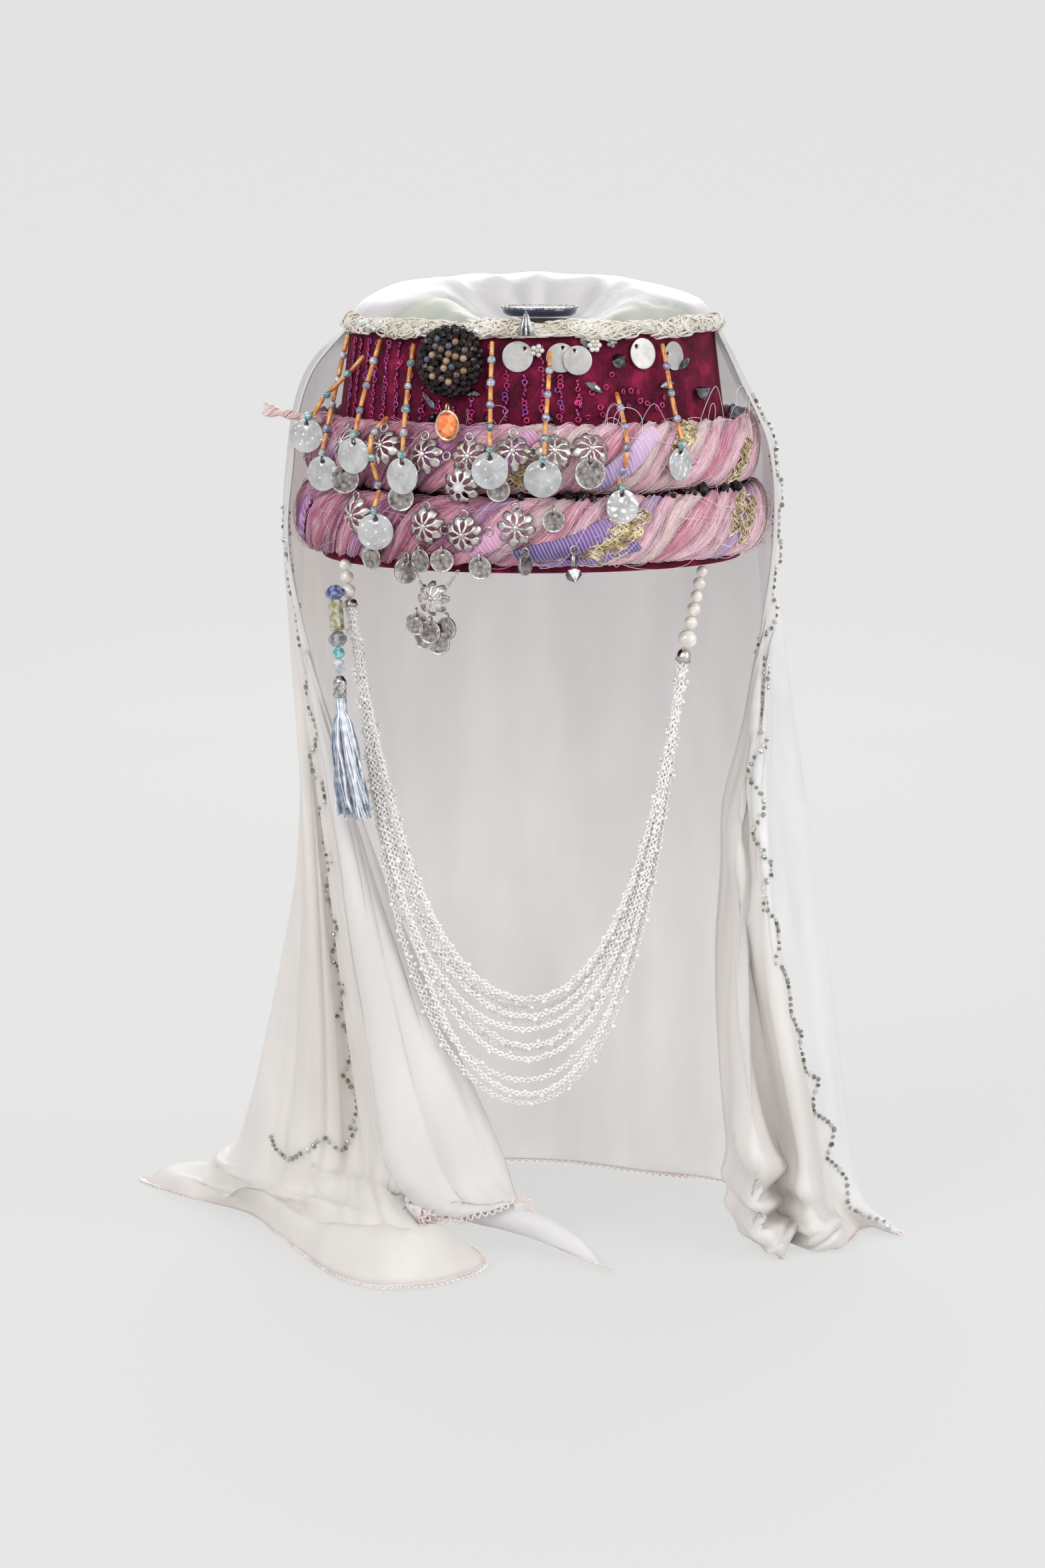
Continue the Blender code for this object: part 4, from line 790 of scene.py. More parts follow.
glass_bead = Finish("cut_glass", Roughness=0.08, Coat_Weight=0.8, Metallic=0.35)
glass_bead.into("Base Color", glass_bead.mix(0.3, glass_bead.tint(), glass_bead.ramp(
    glass_bead.noise(300.0, 1.0), (0.4, (0.12, 0.12, 0.10)), (0.6, (0.9, 0.9, 0.85)))))
bead_rows = [bead_line(RIGHT_BEADS, SCALLOP), bead_line(LEFT_BEADS, SCALLOP), bead_line(LEFT_TURN, 0.0)]
places, frames = on_both_faces(bead_rows)
seed_points, seed_faces = lathe([(0, -1.0), (0.62, -0.8), (1.0, 0.0), (0.62, 0.8), (0, 1.0)], 6)
seed_points = seed_points * 0.95 * MM
order = np.arange(len(places))
seed_colours = np.where((order % 4 == 0)[:, None], (0.62, 0.62, 0.58), np.where(
    (order % 2 == 1)[:, None], (0.10, 0.13, 0.06), (0.22, 0.26, 0.15)))
points, faces = copies(seed_points, seed_faces, spun(frames, RANDOM.uniform(0, 3, len(places))), places,
                       RANDOM.uniform(0.75, 1.15, len(places))[:, None] * [1.0, 1.35, 0.9])
piece("veil_bead_lines", points, faces, glass_bead.look, "veil_silk",
      tint=each(seed_colours, len(seed_points)), smooth=False)


# Crown edging: cream cotton crochet worked loosely along the front top rim, knobbly, with
# small clear crystals caught in it, closest together at the left.
LACE_SPAN = (-75.0, 76.0)


def looped_thread(count, loop, phase, wander):
    """A thread that coils round the rim line: its coil radius and height swell as sums of sines."""
    t = np.linspace(0, 1, count)
    azimuth = LACE_SPAN[0] + (LACE_SPAN[1] - LACE_SPAN[0]) * t
    turn = 2 * np.pi * t * loop + phase
    swell = 1 + 0.45 * np.sin(31 * t + 0.3 * phase)
    swell = swell + 0.35 * np.sin(83 * t + 2 * phase) + 0.25 * np.sin(190 * t)
    z = 97.4 * MM + 2.0 * MM * swell * np.sin(turn) + wander * MM * np.sin(44 * t + 0.4 * phase)
    extra = 2.6 * MM + 1.5 * MM * swell * np.cos(turn)
    sideways = 1.9 * np.sin(2.3 * turn + phase) + 0.8 * np.sin(5.1 * turn)
    return on_wall(azimuth + sideways, z, extra)


crochet = Finish("cream_crochet", Roughness=0.85, Sheen_Weight=0.3)
crochet.into("Base Color", crochet.ramp(crochet.noise(90.0, 3.0), (0.3, (0.60, 0.53, 0.42)),
                                        (0.55, (0.80, 0.76, 0.68)), (0.8, (0.87, 0.85, 0.80))))
crochet.bump(crochet.noise(1400.0, 3.0), 0.6, 0.3 * MM)
coils = [looped_thread(1500, 58 + 11 * k, 1.3 * k, 0.9) for k in range(6)]
CORE_SAMPLES = 900
core = on_wall(np.linspace(*LACE_SPAN, CORE_SAMPLES), 96.6 * MM, 2.5 * MM)
core_radius = 1.0 * MM + 0.3 * MM * np.sin(np.arange(CORE_SAMPLES) * 0.35)
lace_points, lace_faces = joined(tubes(np.stack(coils), 0.44 * MM, 4), tubes(core, core_radius, 6))
piece("crochet_edging", lace_points, lace_faces, crochet.look, "crochet_lace", "crown_lace")

# Crystals in the edging: sixteen close together at the left, the others spread out
CRYSTALS = 16 + 22
crystal_azimuth = np.concatenate([RANDOM.uniform(-70, -52, 16), RANDOM.uniform(-50, 74, 22)])
crystal_places = on_wall(crystal_azimuth, RANDOM.uniform(96.0, 99.3, CRYSTALS) * MM, 4.6 * MM)
crystal_out = outward(crystal_azimuth) + RANDOM.normal(0, 0.4, (CRYSTALS, 3))
crystal_frames = spun(frames_of(crystal_out), RANDOM.uniform(0, 3, CRYSTALS))
points, faces = copies(
    seed_points, seed_faces, crystal_frames, crystal_places, RANDOM.uniform(0.7, 1.4, CRYSTALS))
piece("edging_crystals", points, faces, glass_bead.look, "crochet_lace",
      tint=(0.80, 0.82, 0.84), smooth=False)


# Crown button: a navy lacquered disc in a silver rim set with beads, which pins the gathers of
# the veil, and in front of it a ribbed silver bell bead sewn on with its point up.
low, high = np.array(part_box("crown_disc"))
button_centre = (low + high) / 2 * [1, 1, 0] + [0, 0, low[2]]
button_height = high[2] - low[2]
navy = Finish("navy_lacquer", (0.006, 0.012, 0.07), Roughness=0.16, Coat_Weight=0.8)
navy.into("Base Color", navy.ramp(
    navy.noise(120.0, 3.0), (0.4, (0.004, 0.008, 0.045)), (0.7, (0.012, 0.022, 0.11))))
navy.bump(navy.noise(260.0, 2.0), 0.12, 0.3 * MM)
silver = Finish("bright_silver", (0.78, 0.77, 0.75), Roughness=0.22, Metallic=1.0)
silver.into("Base Color", silver.ramp(
    silver.noise(700.0, 4.0), (0.38, (0.20, 0.20, 0.20)), (0.62, (0.70, 0.69, 0.67))))
silver.into("Roughness", silver.ramp(silver.noise(400.0, 2.0), (0.3, 0.32), (0.7, 0.16)))
points, faces = lathe(
    [(0, 0), (0.84, 0.0), (0.94, 0.3), (0.965, 0.78), (0.93, 0.9), (0.5, 0.97), (0, 1.0)], 64)
piece("navy_button", points * [BUTTON_RADIUS, BUTTON_RADIUS, button_height] + button_centre, faces, navy.look,
      "navy_enamel", "crown_disc")
RIM_BEADS = 72
bead_angle = np.arange(RIM_BEADS) * 2 * np.pi / RIM_BEADS
bead_ring = np.stack([0.96 * BUTTON_RADIUS * np.cos(bead_angle), 0.96 * BUTTON_RADIUS * np.sin(bead_angle),
                      0 * bead_angle + 0.9 * button_height], axis=1) + button_centre
ball = lathe([(0, -1.0), (0.71, -0.71), (1.0, 0.0), (0.71, 0.71), (0, 1.0)], 8)
beads = copies(*ball, np.broadcast_to(np.eye(3), (RIM_BEADS, 3, 3)), bead_ring, 0.5 * MM)
band = doughnut(0.965, 0.018, 64, 5)
band_points = band[0] * BUTTON_RADIUS + button_centre + [0, 0, 0.8 * button_height]
piece("silver_button_rim", *joined(beads, (band_points, band[1])), silver.look, "hammered_silver")


def cad_points(node):
    """The different corner points of a CAD node, as an array."""
    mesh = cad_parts[node].data
    points = np.empty(len(mesh.vertices) * 3, np.float32)
    mesh.vertices.foreach_get("co", points)
    return np.unique(np.round(points.reshape(-1, 3).astype(float), 6), axis=0)


def seat(points):
    """Foot on the axis, rows right, up and out, and height of a flat piece: out is where its
    points spread least, turned away from the headdress's middle."""
    centre = points.mean(axis=0)
    out = np.linalg.svd(points - centre, full_matrices=False)[2][-1]
    out = out * np.sign(out @ (centre * [1, 1, 0]) + 1e-9)
    height = (points - centre) @ out
    return centre + out * height.min(), frames_of(out)[0], np.ptp(height)


low, high = np.array(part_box("bell_bead"))
bell_centre, bell_height = (low + high) / 2, high[2] - low[2]
bell = lathe([(0, 0.5), (0.16, 0.47), (0.32, 0.34), (0.52, 0.12), (0.78, -0.16), (1.0, -0.42), (0.86, -0.46),
              (0.4, -0.3), (0, -0.24)], 64)
rib = 1 + 0.16 * np.cos(8 * np.arctan2(bell[0][:, 1], bell[0][:, 0])) * (bell[0][:, 2] < 0.45)
bell_points = bell[0] * np.stack([rib, rib, np.ones_like(rib)], axis=1)
bell_silver = Finish("bell_silver", Roughness=0.32, Metallic=1.0)
bell_silver.into("Base Color", bell_silver.mix(1.0, bell_silver.tint(), bell_silver.ramp(
    bell_silver.noise(600.0, 3.0), (0.35, (0.24, 0.24, 0.24)), (0.62, (0.62, 0.61, 0.60))), "MULTIPLY"))
piece("ribbed_bell", bell_points * [3.1 * MM, 3.1 * MM, bell_height] + bell_centre, bell[1], bell_silver.look,
      "aged_nickel", "bell_bead", tint=np.clip((rib - 0.84) / 0.2, 0.2, 1.2)[:, None] * np.ones(3))


# Yarn rolls: two thick rolls of spun sari silk wound round the fez, each of six soft strands
# twisted together in pinks, lilac and cream, with ladder ribbons and gold braid among them.
ROLL_UPPER = dict(centre=46.0 * MM, half_height=14.3 * MM, half_thick=6.5 * MM, start=0.0)
ROLL_LOWER = dict(centre=17.2 * MM, half_height=14.0 * MM, half_thick=6.5 * MM, start=2.0)
ROLL_SEAT = 0.45 * MM
STRANDS, ROLL_TWISTS, STRAND_DEPTH = 6, 9, 3.4 * MM
ROSE, DUSTY, LILAC = (0.74, 0.28, 0.38), (0.48, 0.12, 0.22), (0.56, 0.38, 0.66)
CREAM, MAUVE, DEEP, PALE = (0.88, 0.70, 0.66), (0.42, 0.14, 0.34), (0.28, 0.04, 0.12), (0.94, 0.60, 0.68)
UPPER_LEFT = (DUSTY, DEEP, ROSE, MAUVE, DUSTY, DEEP)
UPPER_RIGHT = (PALE, CREAM, PALE, ROSE, PALE, CREAM)
LOWER_LEFT = (DUSTY, DEEP, MAUVE, ROSE, DEEP, DUSTY)
LOWER_RIGHT = (PALE, ROSE, CREAM, PALE, LILAC, PALE)


def roll_place(roll, azimuth, turn, lift=0.0):
    """Points on a roll: an oval section (thick cos, height sin) carried round the oval wall."""
    azimuth, turn = np.broadcast_arrays(np.asarray(azimuth, float), np.asarray(turn, float))
    offset = ROLL_SEAT + roll["half_thick"] + (roll["half_thick"] + lift) * np.cos(turn)
    angle = np.radians(azimuth)
    wall = TAPER * roll["centre"]
    return np.stack([(RIM_A - wall + offset) * np.sin(angle), -(RIM_B - wall + offset) * np.cos(angle),
                     roll["centre"] + (roll["half_height"] + lift) * np.sin(turn)], axis=-1)


def strand_count(roll, azimuth, turn):
    """Which strand and how far across it: strands times (turn less twists times azimuth)."""
    return STRANDS * (turn - ROLL_TWISTS * np.radians(azimuth)) / (2 * np.pi) + roll["start"]


def strand_wander(azimuth):
    """How far the strands waver along the roll: two sines of the azimuth."""
    angle = np.radians(azimuth)
    return 0.26 * np.sin(5 * angle + 1.0) + 0.14 * np.sin(17 * angle)


def strand_dip(across, number, azimuth):
    """How deep a strand's surface lies under the roll's full section: a half round whose fullness
    changes slowly along it, with low side folds."""
    angle = np.radians(azimuth)
    plump = 0.75 + 0.25 * np.sin(1.9 * number + 7 * angle)
    fold = 0.5 * MM * np.sin(3 * np.pi * across + 2.5 * np.sin(9 * angle + number))
    hollow = STRAND_DEPTH * (1 - np.sqrt(1 - 0.96 * across**2) * (0.72 + 0.28 * plump))
    return hollow - fold * (1 - across**2) + 0.2 * MM


yarn = Finish("sari_silk_yarn", Roughness=0.38, Sheen_Weight=0.3, Sheen_Roughness=0.3)
across_strand = yarn.node("ShaderNodeUVMap", uv_map="along").outputs["UV"]
fibres = yarn.noise(1.0, 3.0, yarn.stretched(across_strand, (30.0, 0.9, 1.0)))
streaks = yarn.noise(1.0, 4.0, yarn.stretched(across_strand, (7.0, 0.5, 1.0)))
lighter = yarn.mix(0.5, yarn.tint(), (0.97, 0.84, 0.90))
shaded = yarn.mix(yarn.ramp(streaks, (0.46, 0.0), (0.68, 0.9)), yarn.tint(), lighter)
# Painted shade: darker between the fibres
painted_gap_shade = yarn.ramp(fibres, (0.36, (0.42, 0.24, 0.34)), (0.52, (1.0, 1.0, 1.0)))
yarn.into("Base Color", yarn.mix(0.8, shaded, painted_gap_shade, "MULTIPLY"))
yarn.into("Roughness", yarn.ramp(streaks, (0.3, 0.5), (0.7, 0.24)))
yarn.bump(fibres, 0.8, 0.7 * MM).bump(streaks, 0.5, 1.0 * MM)

AROUND, SECTION = 800, 52
for name, roll, left_colours, right_colours in (
        ("yarn_roll_upper", ROLL_UPPER, UPPER_LEFT, UPPER_RIGHT),
        ("yarn_roll_lower", ROLL_LOWER, LOWER_LEFT, LOWER_RIGHT)):
    azimuth, turn = np.meshgrid(np.arange(AROUND) * 360.0 / AROUND - 180.0,
                                np.arange(SECTION) * 2 * np.pi / SECTION - np.pi, indexing="ij")
    strand = strand_count(roll, azimuth, turn) + strand_wander(azimuth)
    across = 2 * (strand - np.floor(strand)) - 1
    number = (np.floor(strand) % STRANDS).astype(int)
    surface = roll_place(roll, azimuth, turn, -strand_dip(across, number, azimuth))
    share = np.clip((azimuth[..., None] + 24.0) / 30.0, 0, 1)
    tint = (1 - share) * np.array(left_colours)[number] + share * np.array(right_colours)[number]
    # Painted shade: each strand darkens towards its edges, into the valleys between strands
    tint = tint * (0.36 + 0.60 * np.sqrt(1 - 0.96 * across**2))[..., None] ** (0.8, 1.25, 1.05)
    uv = np.stack([strand, (np.radians(azimuth) * 92 + turn * 11) * 0.1], axis=-1)
    piece(f"silk_{name}", surface, grid_faces(AROUND, SECTION, True, True), yarn.look, "pink_yarn", name,
          uv=uv, tint=tint)

# Gold braid laid into some of the valleys, a narrow looping metal thread
gold = Finish("gold_thread", (0.62, 0.45, 0.18), Roughness=0.3, Metallic=0.9)
gold.into("Base Color", gold.ramp(
    gold.noise(220.0, 3.0), (0.35, (0.42, 0.30, 0.14)), (0.62, (0.95, 0.84, 0.60))))


def braid(roll, azimuth_from, azimuth_to, turn_from, loops, phase):
    """A looping thread that follows a strand: the turn grows with azimuth, loops by sine and cosine."""
    t = np.linspace(0, 1, int(9 * loops))
    azimuth = azimuth_from + (azimuth_to - azimuth_from) * t
    turn = turn_from + ROLL_TWISTS * np.radians(azimuth - azimuth_from)
    spin = 2 * np.pi * loops * t + phase
    return roll_place(roll, azimuth + 2.2 * np.sin(spin), turn + 0.24 * np.cos(spin * 0.9),
                      (-0.1 + 0.8 * np.cos(spin * 1.7)) * MM)


BRAIDS = (
    (ROLL_LOWER, 13, 21, -1.0, 30), (ROLL_LOWER, 15.5, 24, -1.1, 30), (ROLL_LOWER, 18, 27, -0.9, 26),
    (ROLL_UPPER, 37, 43, -0.1, 22), (ROLL_UPPER, 62, 69, -0.9, 26), (ROLL_LOWER, 60, 68, -0.6, 26),
    (ROLL_UPPER, 39, 44, 0.3, 18), (ROLL_UPPER, -6, 1, -0.9, 20), (ROLL_LOWER, 56, 63, -0.2, 22),
)
braid_shapes = [tubes(braid(roll, start, end, turn, loops, 1.7 * k + j), 0.16 * MM, 4)
                for j, (roll, start, end, turn, loops) in enumerate(BRAIDS) for k in range(3)]
piece("gold_braid", *joined(*braid_shapes), gold.look, "pink_yarn")

# Loose ends and loops of single silk threads that spring out of the rolls
thread = Finish("loose_silk_thread", Roughness=0.45, Sheen_Weight=0.2)
thread.into("Base Color", thread.mix(0.2, thread.tint(), thread.ramp(
    thread.noise(60.0), (0.4, (0.80, 0.62, 0.62)), (0.6, (0.86, 0.80, 0.76)))))


FIBRE_SAMPLES, FIBRE_SIDES = 16, 3


def springing(roll, count, azimuth_range, turn_range, reach, lift, rise=0.0):
    """Threads from one spot of a roll to another, bowed outwards by a sine and raised by another."""
    t = np.linspace(0, 1, FIBRE_SAMPLES)[None]
    azimuth = RANDOM.uniform(*azimuth_range, (count, 1)) + RANDOM.normal(0, reach, (count, 1)) * t
    azimuth = azimuth + RANDOM.normal(0, 1.3, (count, 1)) * np.sin(2 * np.pi * t)
    turn = RANDOM.uniform(*turn_range, (count, 1)) + RANDOM.normal(0, 0.7, (count, 1)) * t
    bow = RANDOM.uniform(0.2, 1.0, (count, 1)) * np.sin(np.pi * t) ** 0.8 * lift
    path = roll_place(roll, azimuth, turn, bow - 0.4 * MM)
    path[..., 2] += RANDOM.uniform(0.2, 1.0, (count, 1)) * np.sin(np.pi * t) * rise
    return path


def laid(roll, count, azimuth_range):
    """Single fibres that lie along the strands: the turn that keeps one place across a strand."""
    t = np.linspace(0, 1, FIBRE_SAMPLES)[None]
    azimuth = RANDOM.uniform(*azimuth_range, (count, 1)) + RANDOM.uniform(5, 13, (count, 1)) * t
    number, across = RANDOM.integers(0, STRANDS, (count, 1)), RANDOM.uniform(-0.75, 0.75, (count, 1))
    drift = RANDOM.normal(0, 0.12, (count, 1)) * np.sin(np.pi * t)
    strand = number + (across + 1) / 2 + drift - strand_wander(azimuth) - roll["start"]
    turn = 2 * np.pi * strand / STRANDS + ROLL_TWISTS * np.radians(azimuth)
    raised = RANDOM.uniform(0.15, 0.9, (count, 1)) * MM * np.sin(np.pi * t) + 0.05 * MM
    return roll_place(roll, azimuth, turn, raised - strand_dip(across + 2 * drift, number, azimuth))


thread_paths = np.concatenate([
    laid(ROLL_UPPER, 330, (-90, 85)), laid(ROLL_LOWER, 330, (-90, 85)),
    springing(ROLL_UPPER, 60, (-88, 88), (-1.2, 1.4), 9, 2.0 * MM),
    springing(ROLL_LOWER, 60, (-88, 88), (-1.4, 1.2), 9, 2.0 * MM),
    springing(ROLL_UPPER, 5, (14, 26), (0.6, 1.2), 9, 4.0 * MM, 12 * MM),
    springing(ROLL_UPPER, 7, (50, 80), (0.6, 1.2), 9, 4.5 * MM, 11 * MM),
    springing(ROLL_UPPER, 4, (-70, 12), (0.6, 1.4), 5, 3.5 * MM, 6 * MM),
    springing(ROLL_LOWER, 20, (15, 85), (-1.3, 0.6), 9, 5.0 * MM)])
thread_tones = np.array([(0.92, 0.72, 0.76), (0.94, 0.88, 0.88), (0.66, 0.48, 0.66), (0.84, 0.50, 0.56)])
thread_tint = thread_tones[RANDOM.integers(0, 4, len(thread_paths))]
# Darker on the left, by where each thread's middle lies
on_left = np.clip((8 * MM - thread_paths[:, FIBRE_SAMPLES // 2, 0]) / (30 * MM), 0, 1)[:, None]
thread_tint = thread_tint * (1 - on_left * np.array((0.30, 0.62, 0.48)))
points, faces = tubes(thread_paths, 0.12 * MM, FIBRE_SIDES)
piece("loose_threads", points, faces, thread.look, "pink_yarn",
      tint=each(thread_tint, FIBRE_SAMPLES * FIBRE_SIDES))

# Ladder ribbons: thin woven tapes in blue violet and lilac that are wound with the strands
# Roll, azimuth and turn where each starts and ends, half width in millimetres, colours
RIBBONS = (
    (ROLL_LOWER, -4, -0.95, 21, 0.15, 3.4, (0.035, 0.025, 0.17), (0.22, 0.10, 0.36)),
    (ROLL_LOWER, 2, -1.45, 26, -0.45, 2.0, (0.26, 0.14, 0.42), (0.10, 0.06, 0.26)),
    (ROLL_UPPER, 16, -0.9, 33, 0.9, 3.4, (0.34, 0.24, 0.52), (0.72, 0.48, 0.66)),
    (ROLL_LOWER, -15, -0.8, -2, 0.6, 2.8, (0.62, 0.26, 0.50), (0.74, 0.38, 0.50)),
    (ROLL_UPPER, -12, -0.7, 1, 0.9, 2.6, (0.34, 0.08, 0.32), (0.60, 0.26, 0.46)),
    (ROLL_LOWER, -78, -0.9, -70, 0.7, 2.2, (0.16, 0.04, 0.22), (0.30, 0.08, 0.30)),
)
tape = Finish("ladder_ribbon", Roughness=0.32, Sheen_Weight=0.3)
tape_uv = tape.node("ShaderNodeUVMap", uv_map="along").outputs["UV"]
bars = tape.wave(1.0, tape.stretched(tape_uv, (0.0, 2.4, 0.0)), "Y", 0.6, 1.0)
tape.into("Base Color", tape.mix(tape.ramp(bars, (0.5, 0.0), (0.85, 0.3)), tape.tint(), (0.82, 0.68, 0.82)))
tape.bump(bars, 0.7, 0.5 * MM)
ribbon_parts, ribbon_uv, ribbon_tint = [], [], []
TAPE_THICK, TAPE_SAMPLES, TAPE_ACROSS = 0.3 * MM, 60, 9
s, t = np.meshgrid(np.linspace(0, 1, TAPE_SAMPLES), np.linspace(-1, 1, TAPE_ACROSS), indexing="ij")
blend = np.concatenate([s, s[:, ::-1]], axis=1)[..., None]
both = np.concatenate([t, t[:, ::-1]], axis=1)
# Each ribbon is arched across, and its ends dive between the strands
above = np.sin(np.pi * s) ** 0.3
lift = (0.9 - 0.9 * t**2 + 0.25 * np.sin(40 * s + 2 * t)) * MM * above - 0.8 * MM * (1 - above)
for roll, azimuth_from, turn_from, azimuth_to, turn_to, half_width, first, second in RIBBONS:
    azimuth = azimuth_from + (azimuth_to - azimuth_from) * s + 1.2 * t
    turn = turn_from + (turn_to - turn_from) * s - half_width / 11.0 * t + 0.06 * np.sin(9 * s)
    under = roll_place(roll, azimuth, turn, lift - TAPE_THICK)
    ribbon_parts.append(slab(roll_place(roll, azimuth, turn, lift), under))
    ribbon_tint.append((np.array(first) * (1 - blend) + blend * np.array(second)).reshape(-1, 3))
    length = blend[..., 0] * (azimuth_to - azimuth_from) * 0.16
    ribbon_uv.append(np.stack([both, length], axis=-1).reshape(-1, 2))
piece("ladder_ribbons", *joined(*ribbon_parts), tape.look, "pink_yarn", uv=np.concatenate(ribbon_uv),
      tint=np.concatenate(ribbon_tint))

# Yarn tuft: the loose end of the pink and copper yarn, unravelled, that sticks out at the left
TUFT_THREADS, TUFT_SAMPLES = 46, 30
low, high = np.array(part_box("yarn_tuft"))
tuft_start = np.array([high[0], (low[1] + high[1]) / 2, (low[2] + high[2]) / 2 - 1 * MM])
tuft_reach = high[0] - low[0]
t = np.linspace(0, 1, TUFT_SAMPLES)[None]
ends = RANDOM.uniform(0.6, 1.0, (TUFT_THREADS, 1))
spin = RANDOM.uniform(0, 2 * np.pi, (TUFT_THREADS, 1))
spread = (0.5 + 1.6 * np.clip(t * ends - 0.45, 0, 1) + 0.9 * np.abs(np.sin(9 * t * ends))) * 1.3 * MM
swirl = spin + 15 * t * ends
tuft_paths = np.stack([
    tuft_start[0] - tuft_reach * t * ends, tuft_start[1] + spread * np.cos(swirl),
    tuft_start[2] + 5 * MM * t * ends + spread * np.sin(swirl)], axis=-1)
points, faces = tubes(tuft_paths, 0.24 * MM, 4, across=(0, 0, 1))
tuft_tones = np.array([(0.84, 0.60, 0.62), (0.86, 0.72, 0.68), (0.62, 0.34, 0.22), (0.82, 0.52, 0.50)])
piece("unravelled_tuft", points, faces, thread.look, "pink_yarn", "yarn_tuft",
      tint=each(tuft_tones[RANDOM.integers(0, 4, TUFT_THREADS)], TUFT_SAMPLES * 4))


# Flower domes: bead caps stamped from thin nickel plate, eight petals pierced apart by drop-shaped
# slots, aged dark in the recesses and linked with jump rings along the rolls.
DOME_RADIUS, DOME_RISE, PLATE = 7.9 * MM, 4.1 * MM, 0.4 * MM


def pierced_dome(radius, rise):
    """Petals whose half angle narrows at the slot (a sine hump) and runs to a point at the rim, on a
    dome whose height is rise (1 - r squared) to the 0.8, with a round hub."""
    s = np.array([0.14, 0.24, 0.32, 0.40, 0.48, 0.56, 0.64, 0.72, 0.80, 0.88, 0.95, 1.0])[:, None]
    t = np.linspace(-1, 1, 5)[None]
    slot = 0.66 * np.sin(np.pi * np.clip((s - 0.18) / 0.52, 0, 1)) ** 0.6
    tip = np.sqrt(np.clip((1.02 - s) / 0.34, 0.02, 1))
    half = np.pi / 8 * (0.99 - slot) * tip
    height = rise * np.clip(1 - s**2, 0, 1) ** 0.8 + 0.15 * MM * (1 - t**2) * (s > 0.2)
    shapes = []
    for petal in range(8):
        angle = petal * np.pi / 4 + half * t
        top = np.stack([radius * s * np.cos(angle), radius * s * np.sin(angle), height + PLATE], axis=-1)
        shapes.append(slab(top, top - [0, 0, PLATE]))
    hub = lathe([(0, -0.2), (1.0, -0.2), (1.25, 0.1), (0.9, 0.45), (0.4, 0.62), (0, 0.65)], 12)
    shapes.append((hub[0] * MM + [0, 0, rise + 0.3 * MM], hub[1]))
    return joined(*shapes)


nickel = Finish("aged_nickel", Roughness=0.28, Metallic=1.0)
worn = nickel.ramp(nickel.noise(420.0, 4.0), (0.30, (0.22, 0.18, 0.17)), (0.46, (0.56, 0.51, 0.48)),
                   (0.68, (0.84, 0.80, 0.77)))
nickel.into("Base Color", nickel.mix(1.0, worn, nickel.tint(), "MULTIPLY"))
nickel.into("Roughness", nickel.ramp(nickel.noise(300.0, 3.0), (0.3, 0.42), (0.7, 0.17)))
nickel.bump(nickel.noise(900.0, 3.0), 0.25, 0.15 * MM)

DOMES = 12
dome_names = [f"filigree_{k}" for k in range(1, DOMES + 1)]
dome_shape = pierced_dome(DOME_RADIUS, DOME_RISE)
dome_tone = 0.55 + 0.55 * np.clip(dome_shape[0][:, 2] / DOME_RISE, 0, 1)
dome_seats = [seat(cad_points(node)) for node in dome_names]
dome_feet = np.array([foot for foot, _, _ in dome_seats])
dome_frames = spun(np.array([axes for _, axes, _ in dome_seats]), RANDOM.uniform(0, 0.8, DOMES))
points, faces = copies(*dome_shape, dome_frames, dome_feet)
piece("pierced_domes", points, faces, nickel.look, "aged_nickel", dome_names,
      tint=np.tile(dome_tone, DOMES)[:, None] * np.ones(3))
# A clear crystal set in one dome
SET_DOME, CRYSTAL_SIZE = 7, 2.6 * MM
crystal = lathe([(0, -0.6), (0.9, 0.0), (1.0, 0.25), (0.6, 0.7), (0, 0.72)], 8)
set_foot, set_axes = dome_feet[SET_DOME], dome_frames[SET_DOME]
crystal_place = set_foot + set_axes[2] * (DOME_RISE + 0.6 * MM)
piece("set_crystal", crystal[0] * CRYSTAL_SIZE @ set_axes + crystal_place, crystal[1], glass_bead.look,
      "aged_nickel", tint=(0.75, 0.76, 0.78), smooth=False)


# Coins: struck nickel discs with a raised rim, a ring of dots and a plain rosette, and pale
# hammered or smooth discs, each drilled near its edge.


def coin(radius, thick, relief, hole=0.72, bore=0.11, sides=44, rows=12):
    """A drilled disc: points run from the hole's ring to the rim as a straight mix, and the relief
    lifts both faces as a function of place over radius."""
    share = np.concatenate([np.linspace(0, 0.8, rows - 5), (0.86, 0.91, 0.95, 0.985, 1.0)])[:, None, None]
    angle = np.arange(sides) * 2 * np.pi / sides
    circle = np.stack([np.cos(angle), np.sin(angle)], axis=-1)[None]
    flat = (1 - share) * (bore * circle + [0, hole]) + share * circle
    x, y = flat[..., 0], flat[..., 1]
    round_edge = np.where(share[..., 0] > 0.99, 0.55, 1.0)
    height = (0.5 * thick + relief(x, y)) * round_edge
    front = np.concatenate([flat * radius, height[..., None]], axis=-1)
    back = np.concatenate([flat * radius, -height[..., None]], axis=-1)
    both = np.concatenate([front, back[::-1]])
    return both.reshape(-1, 3), [grid_faces(2 * rows, sides, True, True)]


def struck(x, y):
    """Raised rim, dots round it and a rosette: all cosines of the angle and the radius."""
    r, a = np.hypot(x, y), np.arctan2(y, x)
    rim = 0.22 * (r > 0.88)
    dots = 0.13 * (np.abs(r - 0.77) < 0.07) * (0.5 + 0.5 * np.cos(26 * a))
    rose = 0.17 * (r < 0.62) * (0.5 + 0.5 * np.cos(6 * a + 9 * r)) * (0.5 + 0.5 * np.cos(14 * r))
    return (rim + dots + rose) * MM


